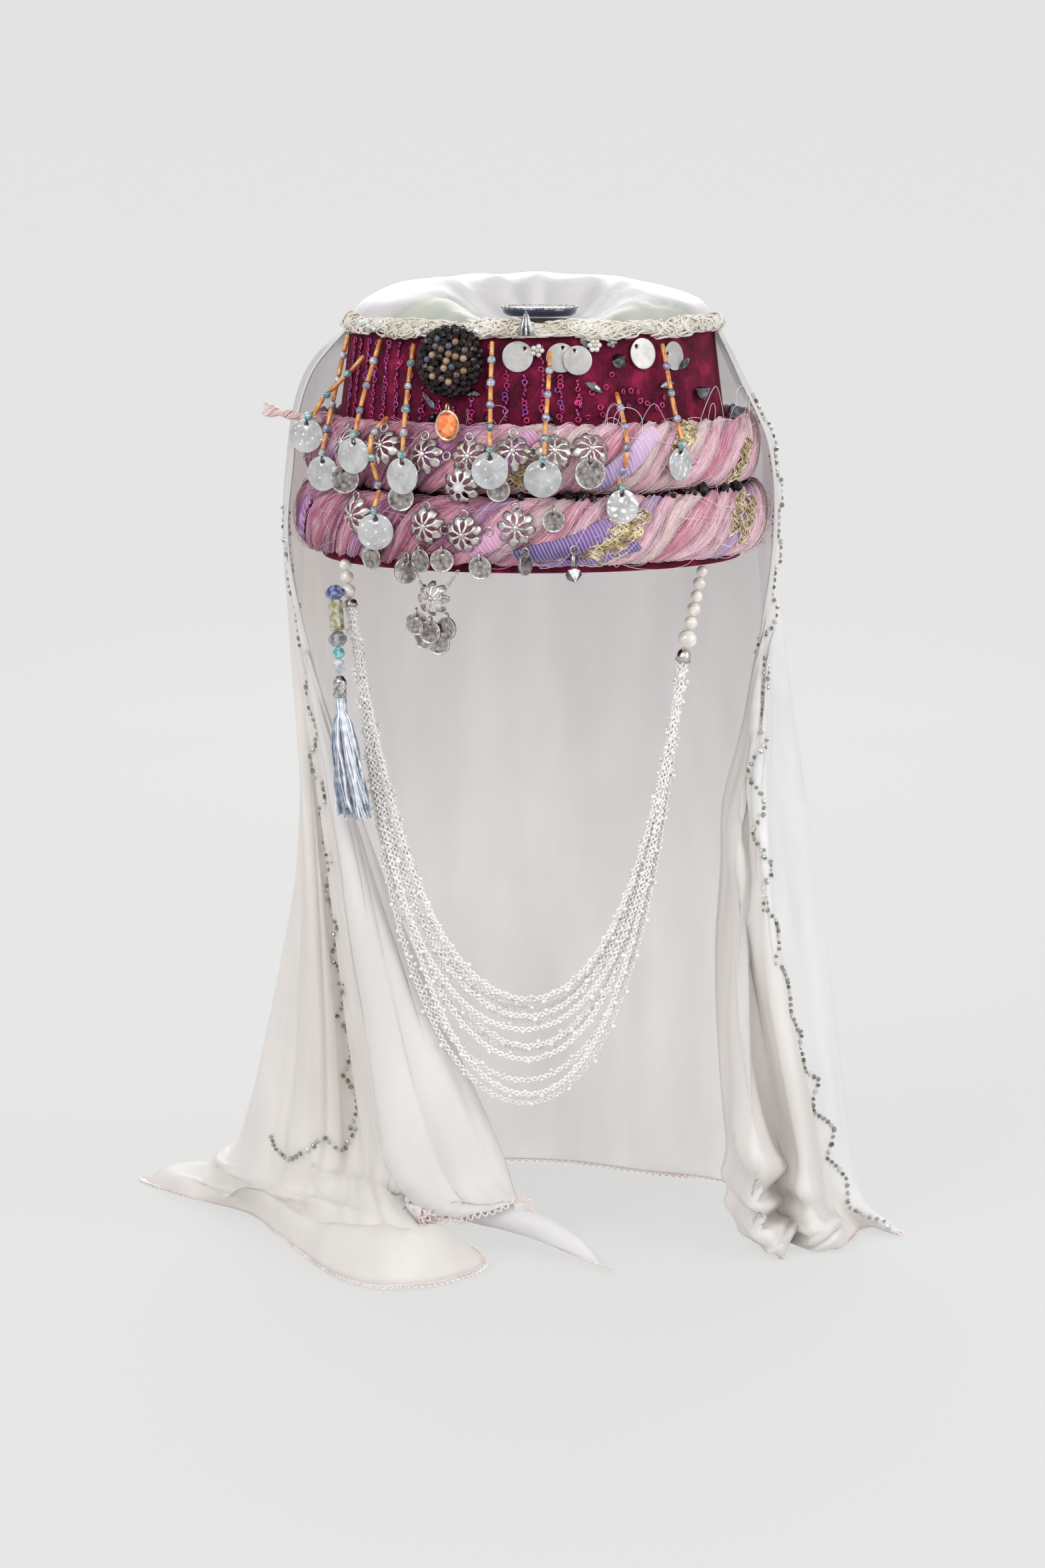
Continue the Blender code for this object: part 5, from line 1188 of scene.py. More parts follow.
def hammered(x, y):
    """Uneven dents: products of sines in two skewed directions."""
    dents = np.sin(9 * x + 2 * np.sin(5 * y)) * np.sin(10 * y + 1.5 * np.sin(6 * x + 1))
    return 0.13 * MM * dents * (np.hypot(x, y) < 0.93)


def smooth_face(x, y):
    """A slight dish, one minus the radius squared."""
    return 0.12 * MM * (1 - x**2 - y**2)


def relief_tone(points, thick, low=0.45, depth=0.25 * MM):
    """Darker where the relief lies low, as tarnish stays there."""
    rise = np.clip((np.abs(points[:, 2]) - 0.5 * thick) / depth, 0, 1)
    return (low + (1.15 - low) * rise)[:, None] * np.ones(3)


def hanging_disc(node):
    """Centre, axes and radius of an upright CAD disc; its radius is half its height."""
    corners = cad_points(node)
    foot, axes, height = seat(corners)
    return foot + axes[2] * height / 2, axes, np.ptp(corners[:, 2]) / 2


COIN_THICK = 0.9 * MM
SMALL_THICK = COIN_THICK * 0.75
small_coins = [f"small_coin_{k}" for k in range(1, 13)]
smooth_discs = [f"sequin_disc_{k}" for k in range(1, 6)]
coin_parts, coin_tones, ring_places, ring_frames = [], [], [], []
for node in small_coins:
    centre, axes, radius = hanging_disc(node)
    shape, parts = coin(radius, SMALL_THICK, struck)
    coin_tones.append(relief_tone(shape, SMALL_THICK))
    coin_parts.append((shape @ axes + centre, parts))
    ring_places.append(centre + axes[1] * radius * 0.98)
    ring_frames.append(axes[[2, 1, 0]])
piece("struck_coins", *joined(*coin_parts), nickel.look, "aged_nickel", small_coins,
      tint=np.concatenate(coin_tones))

pale_silver = Finish("hammered_silver", Roughness=0.24, Metallic=0.9)
pale_silver.into("Base Color", pale_silver.ramp(
    pale_silver.noise(160.0, 3.0), (0.3, (0.46, 0.46, 0.47)), (0.6, (0.70, 0.70, 0.71))))
dents = pale_silver.cells(480.0, "SMOOTH_F1")
pale_silver.bump(dents, 0.9, 0.55 * MM).bump(pale_silver.noise(1500.0, 2.0), 0.15, 0.1 * MM)
satin_silver = Finish("satin_silver", Roughness=0.42, Metallic=0.75)
satin_silver.into("Base Color", satin_silver.ramp(
    satin_silver.noise(240.0, 5.0), (0.3, (0.40, 0.385, 0.37)), (0.65, (0.56, 0.55, 0.54))))
satin_silver.bump(satin_silver.noise(1100.0, 3.0), 0.12, 0.1 * MM)
disc_parts = []
for k, node in enumerate(smooth_discs, 1):
    centre, axes, radius = hanging_disc(node)
    turned = spun(axes[None], np.array([0.5 * k - 1.2]))[0]
    shape, parts = coin(radius, 0.5 * MM, smooth_face, sides=48)
    disc_parts.append((shape @ turned + centre, parts))
piece("smooth_discs", *joined(*disc_parts), satin_silver.look, "hammered_silver", smooth_discs)


# Bead strings: orange bugle beads and small round glass beads by turns on a thread, each string
# ending in a pale hammered coin that hangs from a dark loop.
STRING_COINS = (7.2, 7.0, 7.4, 7.4, 7.4, 7.5, 7.6, 7.0, 6.8)
BUGLE_LENGTH, ROUND_BEAD = 7.0 * MM, 1.75 * MM

bugle = Finish("orange_bugle", Roughness=0.12, Coat_Weight=0.7)
bugle.into("Base Color", bugle.ramp(
    bugle.noise(260.0, 2.0), (0.35, (0.46, 0.12, 0.01)), (0.62, (0.72, 0.36, 0.10))))
bugle.bump(bugle.noise(2200.0, 2.0), 0.1, 0.05 * MM)
round_glass = Finish("round_glass", Roughness=0.10, Coat_Weight=0.9, Metallic=0.15)
round_glass.into("Base Color", round_glass.mix(0.4, round_glass.tint(), round_glass.ramp(
    round_glass.noise(420.0, 2.0), (0.42, (0.06, 0.07, 0.09)), (0.6, (0.75, 0.78, 0.80)))))
dark_thread = Finish("dark_thread", Roughness=0.7)
dark_thread.into("Base Color", dark_thread.ramp(
    dark_thread.noise(200.0), (0.4, (0.02, 0.02, 0.03)), (0.6, (0.07, 0.06, 0.08))))

bugle_shape = lathe([(0, -0.5), (0.80, -0.5), (0.95, -0.46), (0.95, 0.46), (0.80, 0.5), (0, 0.5)], 10)
bead_shape = lathe([(0, -1.0), (0.5, -0.9), (0.9, -0.5), (1.0, 0.0), (0.9, 0.5), (0.5, 0.9), (0, 1.0)], 10)
BEAD_TONES = np.array([
    (0.20, 0.19, 0.34), (0.14, 0.34, 0.32), (0.42, 0.42, 0.50), (0.28, 0.24, 0.42), (0.10, 0.20, 0.24)])
THREAD_SAMPLE = 0.2 * MM
bugles, rounds, round_tones, threads, hung_coins, loops = [], [], [], [], [], []


def along(direction):
    """Rows right, out and up for pieces whose own third axis runs along a line."""
    up = direction / np.linalg.norm(direction, axis=-1, keepdims=True)
    side = np.cross(up, np.broadcast_to((0.0, 1.0, 0.05), up.shape))
    side /= np.linalg.norm(side, axis=-1, keepdims=True)
    return np.stack([side, np.cross(up, side), up], axis=-2)


for k, size in enumerate(STRING_COINS, 1):
    corners = cad_points(f"bead_string_{k}")
    size = size * MM
    coin_top = corners[:, 2].min() + 2 * size
    of_coin = corners[corners[:, 2] < coin_top - 0.35 * size]
    foot, axes, height = seat(of_coin)
    centre = foot + axes[2] * height / 2
    centre = centre + axes[1] * ((coin_top - size - centre[2]) / axes[1][2])
    shape, parts = coin(size, COIN_THICK * 0.8, hammered)
    hung_coins.append((shape @ axes + centre, parts))
    # The thread's line: two cubics through the tube's corners, bent to the coin's hole at its end
    of_tube = corners[corners[:, 2] > coin_top + 0.4 * MM]
    z = np.linspace(of_tube[:, 2].max(), coin_top - 0.1 * size, 80)
    cubics = [np.polyfit(of_tube[:, 2], of_tube[:, axis], 3) for axis in (0, 1)]
    line = np.stack([np.polyval(cubic, z) for cubic in cubics] + [z], axis=1)
    blend = np.clip((coin_top + 4 * MM - z) / (4 * MM), 0, 1)[:, None]
    hole_place = centre + axes[1] * 0.9 * size + axes[2] * 0.5 * MM
    line = line * (1 - blend) + (hole_place + (line - line[-1]) * [0, 0, 1]) * blend
    dense, run = measured(line, THREAD_SAMPLE)
    gradient = np.gradient(dense, axis=0)
    # A whole number of units, each a bugle and a round bead
    units = max(1, int(round(run[-1] / (BUGLE_LENGTH + 2 * ROUND_BEAD))))
    unit = run[-1] / units
    bugle_middles = (np.arange(units) + 0.5 * (1 - 2 * ROUND_BEAD / unit)) * unit
    bead_middles = (np.arange(units) + 1) * unit - ROUND_BEAD
    middle, bead_at = (np.clip((places / THREAD_SAMPLE).astype(int), 0, len(dense) - 1)
                       for places in (bugle_middles, bead_middles))
    bugles.append(copies(*bugle_shape, along(-gradient[middle]), dense[middle],
                         np.array([[MM, MM, unit - 2 * ROUND_BEAD - 0.2 * MM]])))
    rounds.append(copies(*bead_shape, along(-gradient[bead_at]), dense[bead_at],
                         ROUND_BEAD * RANDOM.uniform(0.9, 1.1, units)))
    tones = BEAD_TONES[RANDOM.integers(0, 5, units)]
    tones[-1] = BEAD_TONES[1]
    round_tones.append(each(tones, len(bead_shape[0])))
    threads.append(tubes(dense[::6], 0.3 * MM, 5))
    ring = doughnut(0.17 * size, 0.32 * MM, 12, 5)
    loops.append((ring[0][:, [2, 1, 0]] * [1, 1.25, 1] @ axes + centre + axes[1] * 0.86 * size, ring[1]))
piece("bugle_beads", *joined(*bugles), bugle.look, "bugle_beads")
piece("round_beads", *joined(*rounds), round_glass.look, "bugle_beads", tint=np.concatenate(round_tones))
piece("string_threads", *joined(*threads, *loops), dark_thread.look, "bugle_beads")
piece("hammered_coins", *joined(*hung_coins), pale_silver.look, "hammered_silver",
      [f"bead_string_{k}" for k in range(1, len(STRING_COINS) + 1)])


# Studs: faceted gunmetal cones; the frame's own solids keep their shape.
gunmetal = Finish("gunmetal", Roughness=0.14, Metallic=1.0)
gunmetal.into("Base Color", gunmetal.ramp(
    gunmetal.noise(300.0, 2.0), (0.35, (0.06, 0.06, 0.07)), (0.65, (0.30, 0.30, 0.33))))
for k in range(1, 5):
    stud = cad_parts[f"stud_{k}"]
    stud.data.materials.clear()
    stud.data.materials.append(gunmetal.look)


# Brooch: a dome closely sewn with black faceted beads, bronze and cream pearls at its centre.
foot, axes, height = seat(cad_points("brooch"))
BROOCH_RADIUS = 15.0 * MM
BROOCH_BEADS = 104
index = np.arange(BROOCH_BEADS)
polar = np.arccos(1 - (index + 0.5) / BROOCH_BEADS * 0.97)
golden = index * np.pi * (3 - np.sqrt(5))
ball_place = np.stack([0.90 * BROOCH_RADIUS * np.sin(polar) * np.cos(golden),
                       0.90 * BROOCH_RADIUS * np.sin(polar) * np.sin(golden),
                       (height - 1.2 * MM) * np.cos(polar) ** 0.8 + 0.4 * MM], axis=1)
ball_out = ball_place / np.linalg.norm(ball_place, axis=1, keepdims=True)
facet_shape = lathe([(0, -0.95), (0.62, -0.7), (1.0, 0.0), (0.62, 0.7), (0, 0.95)], 7)
local_frames = spun(frames_of(ball_out + (0, 0, 1e-3), (0.1, 1.0, 0.0)), RANDOM.uniform(0, 3, BROOCH_BEADS))
pearl_at_centre = (index < 30) & (index % 3 != 1)
points, faces = copies(*facet_shape, local_frames[~pearl_at_centre], ball_place[~pearl_at_centre],
                       RANDOM.uniform(1.75, 2.15, (~pearl_at_centre).sum()) * MM)
base = lathe([(0, 0), (0.95, 0), (0.99, 0.2), (0.85, 0.52), (0.55, 0.78), (0, 0.84)], 32)
base_points = base[0] * [BROOCH_RADIUS * 0.92, BROOCH_RADIUS * 0.92, height]
black_glass = Finish("black_cut_glass", Roughness=0.16, Specular_IOR_Level=0.3)
black_glass.into("Base Color", black_glass.ramp(
    black_glass.cells(380.0, "F1", "Color"), (0.35, (0.003, 0.002, 0.003)), (0.62, (0.016, 0.007, 0.008)),
    (0.85, (0.030, 0.016, 0.020))))
points, faces = joined((points, faces), (base_points, base[1]))
piece("black_bead_dome", points @ axes + foot, faces, black_glass.look, "black_beads", "brooch", smooth=False)
points, faces = copies(
    *bead_shape, local_frames[pearl_at_centre], ball_place[pearl_at_centre] * 1.02, 1.6 * MM)
lustre = Finish("pearl_lustre", Roughness=0.2, Coat_Weight=0.7, Metallic=0.1)
lustre.into("Base Color", lustre.mix(1.0, lustre.tint(), lustre.ramp(
    lustre.noise(260.0, 2.0), (0.35, (0.80, 0.76, 0.74)), (0.65, (1.0, 1.0, 1.0))), "MULTIPLY"))
lustre.bump(lustre.noise(700.0, 2.0), 0.08, 0.1 * MM)
pearl_tones = np.array([(0.24, 0.13, 0.07), (0.36, 0.25, 0.15), (0.10, 0.06, 0.05), (0.05, 0.06, 0.13)])
piece("brooch_pearls", points @ axes + foot, faces, lustre.look, "pearl",
      tint=each(pearl_tones[RANDOM.integers(0, 4, pearl_at_centre.sum())], len(bead_shape[0])))


# Dark beads: black faceted ovals sewn into the valley between the two rolls and along their edges.
# Azimuth and height, then the bead's half length in millimetres
DARK_BEADS = (
    (44, 31.2, 2.7), (48, 31.8, 3.4), (57, 31.0, 3.0), (64, 31.4, 3.6), (37, 30.6, 2.5), (12, 31.0, 3.0),
    (9, 31.8, 2.6), (15, 30.2, 2.4), (-3, 31.4, 2.4), (-36, 31.0, 2.8), (-58, 31.4, 2.6), (-66, 30.6, 2.4),
    (-12, 61.5, 2.8), (-28, 61.8, 2.4), (4.5, 62.0, 2.6), (31, 60.8, 2.2))
dark_azimuth, dark_z, dark_size = np.array(DARK_BEADS, float).T
dark_frames = spun(frames_of(outward(dark_azimuth)), RANDOM.uniform(0, 3, len(DARK_BEADS)))
dark_reach = np.where(dark_z < 40, 9.5, 5.5) * MM
points, faces = copies(*facet_shape, dark_frames, on_wall(dark_azimuth, dark_z * MM, dark_reach),
                       dark_size[:, None] * MM * [1.0, 0.72, 0.72])
piece("valley_beads", points, faces, black_glass.look, "black_beads", smooth=False)


# Drop: an oval orange stone, facetted, in a gold rim on a link below the brooch.
corners = cad_points("brooch_drop")
foot, axes, height = seat(corners)
DROP_HALF = (5.0 * MM, 6.2 * MM, 3.2 * MM)
centre = foot + axes[2] * height / 2
centre = centre + axes[1] * ((corners[:, 2].min() + DROP_HALF[1] - centre[2]) / axes[1][2])
stone, stone_faces = lathe(
    [(0, -0.8), (0.45, -0.8), (0.88, -0.2), (0.9, 0.12), (0.74, 0.62), (0.44, 0.92), (0, 0.92)], 12)
amber = Finish("orange_stone", Roughness=0.05, Coat_Weight=1.0, Metallic=0.2)
amber.into("Base Color", amber.ramp(amber.cells(330.0, "F1", "Color"), (0.3, (0.42, 0.02, 0.01)),
                                    (0.5, (0.82, 0.14, 0.03)), (0.8, (0.95, 0.42, 0.14))))
piece("orange_drop", stone * DROP_HALF @ axes + centre, stone_faces, amber.look, "orange_glass",
      "brooch_drop", smooth=False)
rim = doughnut(1.0, 0.13, 40, 6)
link = doughnut(1.5 * MM, 0.35 * MM, 14, 6)
rim_points = rim[0] * [DROP_HALF[0] * 0.93, DROP_HALF[1] * 0.93, DROP_HALF[0] * 1.3] @ axes + centre
link_points = link[0][:, [2, 1, 0]] @ axes + centre + axes[1] * (DROP_HALF[1] + 1.1 * MM)
piece("gold_rim", *joined((rim_points, rim[1]), (link_points, link[1])), gold.look, "orange_glass")


# Medallion: one more pierced dome on two fine chains below the band, with struck coins under it.
MEDALLION_AZIMUTH, MEDALLION_Z, MEDALLION_SHARE = -24.0, -10.0 * MM, 0.9
corners = cad_points("medallion")
axes = frames_of(outward(MEDALLION_AZIMUTH))[0]
wall_place = on_wall(MEDALLION_AZIMUTH, MEDALLION_Z)
reach = (corners - wall_place) @ axes[2]
foot = wall_place + axes[2] * reach[corners[:, 2] < MEDALLION_Z].min()
chain_rings, chain_frames = [], []
# Each chain's place sideways at its top and bottom, in millimetres; every other link is turned
CHAIN_LINKS = 9
flat_link = (np.arange(CHAIN_LINKS) % 2 == 0)[:, None, None]
for top_side, bottom_side in ((-8.0, -2.0), (11.0, 2.75)):
    top = foot + axes[0] * top_side * MM + (0, 0, 11 * MM) + axes[2] * 1.2 * MM
    start = foot + axes[0] * bottom_side * MM + axes[2] * 1.2 * MM
    places = start + (top - start) * np.linspace(0.12, 1, CHAIN_LINKS)[:, None]
    links = along(np.broadcast_to(top - start, places.shape))
    chain_rings.append(places)
    chain_frames.append(np.where(flat_link, links[:, [0, 2, 1]], links[:, [1, 2, 0]]))
link, link_faces = doughnut(0.85 * MM, 0.22 * MM, 10, 5)
chains = copies(link * [0.8, 1.25, 1], link_faces, np.concatenate(chain_frames), np.concatenate(chain_rings))
HUNG_RADIUS, HUNG_THICK = 4.7 * MM, COIN_THICK * 0.8
coin_shape = coin(HUNG_RADIUS, HUNG_THICK, struck)
# Right and up of the medallion's place, turn in degrees, forward
MEDALLION_COINS = (
    (-7.0, -10.5, 12, 0), (6.4, -12.0, -10, 0), (-3.4, -16.0, -6, 0), (3.0, -18.0, 8, 0),
    (-0.4, -13.5, 0, 0.9))
coin_reach = np.median((cad_points("medallion_coins") - wall_place) @ axes[2])
hung = []
for right, up, turn, forward in MEDALLION_COINS:
    own = frames_of(outward(MEDALLION_AZIMUTH + turn))[0]
    place = wall_place + axes[2] * (coin_reach + forward * MM) + axes[0] * right * MM + (0, 0, up * MM)
    hung.append((coin_shape[0] @ own + place, coin_shape[1]))
    ring_places.append(place + (0, 0, HUNG_RADIUS))
    ring_frames.append(own[[2, 1, 0]])
tones = np.concatenate([dome_tone[:, None] * np.ones(3), np.ones((len(chains[0]), 3))]
                       + [relief_tone(coin_shape[0], HUNG_THICK)] * len(hung))
points, faces = joined((dome_shape[0] * MEDALLION_SHARE @ axes + foot, dome_shape[1]), chains, *hung)
piece("medallion_cluster", points, faces, nickel.look, "aged_nickel", ["medallion", "medallion_coins"],
      tint=tones)

# Jump rings at the coins' tops, between neighbouring domes and at the top of each dome
NEIGHBOURS = 26 * MM
between = []
for k in range(DOMES - 1):
    if np.linalg.norm(dome_feet[k] - dome_feet[k + 1]) < NEIGHBOURS:
        between.append((dome_feet[k] + dome_feet[k + 1]) / 2 + dome_frames[k][2] * 1.6 * MM)
dome_tops = dome_feet + [0, 0, 8.0 * MM] + dome_frames[:, 2] * 1.2 * MM
linked = np.concatenate([np.array(ring_places), np.array(between), dome_tops])
ring_axes = np.concatenate([np.array(ring_frames), dome_frames[: len(between)], dome_frames])
points, faces = copies(*doughnut(1.7 * MM, 0.38 * MM, 14, 6), ring_axes, linked)
piece("jump_rings", points, faces, nickel.look, "aged_nickel", tint=(0.85, 0.85, 0.85))


# Small sewn flowers and leaves on the velvet: a white bead daisy, a pearl flower and dark leaves.
# Azimuth, height, petals, size, kind
FLOWERS = ((18.5, 91.0, 6, 2.6, "daisy"), (1.4, 89.0, 5, 2.4, "pearl"), (24.0, 92.0, 5, 2.0, "grey"))
FLOWER_TONES = {"daisy": (0.80, 0.79, 0.76), "pearl": (0.74, 0.72, 0.70), "grey": (0.30, 0.29, 0.30)}
# Azimuth, height and turn
LEAVES = (
    (18.0, 74.0, 60), (51.5, 82.0, 120), (43.0, 74.0, 100), (-18.0, 72.0, 80), (15.5, 93.0, 10),
    (-31.0, 68.0, 40))
petal_parts, petal_tones = [], []
for azimuth, z, petals, size, kind in FLOWERS:
    axes = frames_of(outward(azimuth))[0]
    middle = on_wall(azimuth, z * MM, 1.7 * MM)
    angle = np.arange(petals) * 2 * np.pi / petals
    ring_of = (np.cos(angle)[:, None] * axes[0] + np.sin(angle)[:, None] * axes[1]) * size * 0.75 * MM
    places = np.concatenate([middle + ring_of, [middle + axes[2] * 0.4 * MM]])
    own_axes = np.broadcast_to(axes, (petals + 1, 3, 3))
    petal_parts.append(copies(*bead_shape, own_axes, places, size * 0.46 * MM))
    petal_tones.append(each([FLOWER_TONES[kind]] * petals + [(0.55, 0.5, 0.4)], len(bead_shape[0])))
piece("sewn_flowers", *joined(*petal_parts), lustre.look, "pearl", tint=np.concatenate(petal_tones))
leaf = lathe([(0, -1.0), (0.28, -0.6), (0.42, 0.0), (0.25, 0.65), (0, 1.0)], 8)
leaf_azimuth, leaf_z, leaf_turn = np.array(LEAVES, float).T
leaf_frames = spun(frames_of(outward(leaf_azimuth)), np.radians(leaf_turn))[:, [0, 2, 1]]
leaf_places = on_wall(leaf_azimuth, leaf_z * MM, 1.4 * MM)
points, faces = copies(leaf[0] * [1, 0.35, 1], leaf[1], leaf_frames, leaf_places, 4.2 * MM)
piece("dark_leaves", points, faces, gunmetal.look, "grey_stud", smooth=False)


# Strap ends: pearls threaded below the rim on both sides, each row ending in a metal cap.
# Radius and length of each bead from the top, in millimetres
LEFT_PEARLS = ((2.6, 5.0), (2.8, 5.6), (3.0, 6.0))
RIGHT_PEARLS = ((2.4, 4.8), (2.8, 5.4), (2.6, 5.2), (3.0, 5.8), (3.0, 5.8), (4.2, 7.8))
smooth_ball = lathe([(np.sin(a), -np.cos(a)) for a in np.linspace(0, np.pi, 11)], 18)
cup, cup_faces = lathe(
    [(0, 1.0), (0.55, 0.95), (0.9, 0.5), (1.0, -0.2), (1.1, -1.0), (0.9, -1.02), (0.8, -0.3), (0, 0.2)], 16)
CAP_RADIUS = 2.9 * MM
pearl_parts, cap_parts, strap_ends = [], [], []
for node, beads in (("strap_pearls_left", LEFT_PEARLS), ("strap_pearls_right", RIGHT_PEARLS)):
    corners = cad_points(node)
    top, bottom = corners[corners[:, 2].argmax()], corners[corners[:, 2].argmin()]
    length = np.linalg.norm(bottom - top)
    direction = (bottom - top) / length
    cap_length = length - sum(size for _, size in beads) * MM
    run = np.cumsum([0] + [size * MM for _, size in beads])
    places = top + direction * ((run[:-1] + run[1:]) / 2)[:, None]
    sizes = np.array([(radius * 0.97, radius * 0.97, size / 2) for radius, size in beads]) * MM
    own_axes = np.repeat(along(direction[None]), len(beads), axis=0)
    pearl_parts.append(copies(*smooth_ball, own_axes, places, sizes))
    cap_points = cup * [CAP_RADIUS, CAP_RADIUS, cap_length / 2] @ along(-direction[None])[0]
    cap_parts.append((cap_points + bottom - direction * cap_length * 0.45, cup_faces))
    strap_ends.append(bottom)
piece("strap_pearls", *joined(*pearl_parts), lustre.look, "pearl",
      ["strap_pearls_left", "strap_pearls_right"], tint=(0.90, 0.86, 0.80))
piece("strap_end_caps", *joined(*cap_parts), nickel.look, "aged_nickel", tint=(0.9, 0.9, 0.9))


# Chin strap: twelve crocheted strands of white thread with seed pearls, which hang in true
# catenaries between the end caps, the inner ones shorter than the outer ones.
STRAND_SAGS = (151, 154, 156, 159, 161, 165, 171, 174, 177, 187, 191, 196)
STRAND_SWAY = (1, -3, 3, -1, 4, -4, 3, -3, 0, -4, 3, -2)
STRAP_STRANDS = len(STRAND_SAGS)
STITCH, STITCH_THREAD = 2.6 * MM, 0.42 * MM


def catenary(start, end, sag, count):
    """A hanging line: it falls as the hyperbolic cosine, with its scale found by halving."""
    half, middle = (end[0] - start[0]) / 2, (start[0] + end[0]) / 2
    low, high = 5 * MM, 400 * MM
    for _ in range(60):
        scale = (low + high) / 2
        drop = scale * (math.cosh(min(half / scale, 50.0)) - 1)
        low, high = (scale, high) if drop > sag else (low, scale)
    reach = scale * math.sinh(half / scale)
    x = scale * np.arcsinh(np.linspace(-reach, reach, count) / scale)
    fall = scale * (math.cosh(half / scale) - np.cosh(x / scale))
    share = (x + half) / (2 * half)
    return np.stack([middle + x, start[1] + (end[1] - start[1]) * share,
                     start[2] + (end[2] - start[2]) * share - fall], axis=1)


cotton = Finish("white_crochet_cotton", Roughness=0.7, Sheen_Weight=0.35)
cotton.into("Base Color", cotton.ramp(
    cotton.noise(120.0, 3.0), (0.35, (0.96, 0.91, 0.88)), (0.6, (0.98, 0.97, 0.965))))
cotton.bump(cotton.noise(2400.0, 2.0), 0.5, 0.15 * MM)
left_end, right_end = strap_ends
stitch_threads, seed_places = [], []
for k, (sag, sway) in enumerate(zip(STRAND_SAGS, STRAND_SWAY)):
    line, run = measured(catenary(left_end, right_end, sag * MM, 700), STITCH / 6)
    share = np.linspace(0, 1, len(line))[:, None]
    spread = np.sin(np.pi * np.clip(share, 0, 1)) ** 0.35
    line = line + [0, 1, 0] * (spread * ((k * 5) % STRAP_STRANDS - 5.5) / 5.5 * 3.0 * MM)
    line = line + np.array([0.8, 0, 1.0]) * (sway * MM * np.sin(2 * np.pi * share) * np.sin(np.pi * share))
    around = 2 * np.pi * k / STRAP_STRANDS
    line = line + (1 - spread) * np.array([math.cos(around), math.sin(around), 0.0]) * 1.7 * MM
    phase = 2 * np.pi * run / (2 * STITCH)
    tangent = np.gradient(line, axis=0)
    side = np.cross(tangent, (0, 1, 0))
    side /= np.linalg.norm(side, axis=1, keepdims=True)
    # Two threads that cross at every stitch, mirrored about the strand's line
    wave = side * 0.85 * MM * np.sin(phase)[:, None] + [0, 0.35 * MM, 0] * np.cos(2 * phase)[:, None]
    stitch_threads += [tubes(line + wave, STITCH_THREAD, 3), tubes(line - wave, STITCH_THREAD, 3)]
    step = 12 + (k % 3) * 3
    chosen = np.arange(6 + 3 * (k % 4), len(line) - 4, step)
    hop = side[chosen] * (np.where(np.arange(len(chosen)) % 2 == 0, 1, -1)[:, None] * 1.2 * MM)
    seed_places.append(line[chosen] + hop + RANDOM.normal(0, 0.35 * MM, (len(chosen), 3)))
piece("crocheted_strands", *joined(*stitch_threads), cotton.look, "white_strands", "strap_strands")
seed_places = np.concatenate(seed_places)
seeds = len(seed_places)
pearl_ball = lathe([(0, -1.0), (0.8, -0.6), (1.0, 0.1), (0.7, 0.75), (0, 1.0)], 7)
seed_frames = spun(frames_of(RANDOM.normal(0, 1, (seeds, 3))), RANDOM.uniform(0, 3, seeds))
points, faces = copies(*pearl_ball, seed_frames, seed_places, RANDOM.uniform(0.8, 1.2, seeds) * MM)
piece("seed_pearls", points, faces, lustre.look, "white_strands", tint=(0.93, 0.91, 0.88))


# Bead stack at the left strap end: a blue cut bead, an olive gold bar bead, a dark silver bead,
# a turquoise bead and two clear ones on one thread, in front of the pearls.
corners = cad_points("bead_stack")
top, bottom = corners[corners[:, 2].argmax()], corners[corners[:, 2].argmin()]
stack_length = np.linalg.norm(bottom - top)
direction = (bottom - top) / stack_length
# Profile name, radius, length in millimetres, colour
STACK = (
    ("cut", 4.3, 6.0, (0.01, 0.03, 0.30)), ("bar", 3.1, 13.0, (0.42, 0.38, 0.14)),
    ("cut", 3.9, 6.5, (0.16, 0.16, 0.18)), ("round", 2.6, 5.0, (0.06, 0.50, 0.48)),
    ("cut", 2.1, 3.0, (0.72, 0.74, 0.78)), ("cut", 2.1, 3.0, (0.62, 0.64, 0.72)))
SHAPES = {
    "cut": lathe([(0, -1), (0.5, -0.95), (0.95, -0.35), (1.0, 0.0), (0.95, 0.35), (0.5, 0.95), (0, 1)], 8),
    "bar": lathe([(0, -1), (0.8, -1), (1.0, -0.9), (0.92, -0.3), (1.0, 0.0), (0.92, 0.3), (1.0, 0.9),
                  (0.8, 1), (0, 1)], 6),
    "round": lathe([(np.sin(a), -np.cos(a)) for a in np.linspace(0, np.pi, 9)], 14),
}
own = along(-direction[None])[0]
stack_parts, stack_tones, place = [], [], 0.0
scale = stack_length / (sum(row[2] for row in STACK) * MM)
for kind, radius, size, colour in STACK:
    shape, parts = SHAPES[kind]
    size = size * MM * scale
    shape = shape * [radius * MM, radius * MM, size / 2 * 0.98] @ own
    stack_parts.append((shape + top + direction * (place + size / 2), parts))
    stack_tones.append(np.full((len(shape), 3), colour))
    place += size
piece("glass_bead_stack", *joined(*stack_parts), round_glass.look, "stack_beads", "bead_stack",
      tint=np.concatenate(stack_tones), smooth=False)


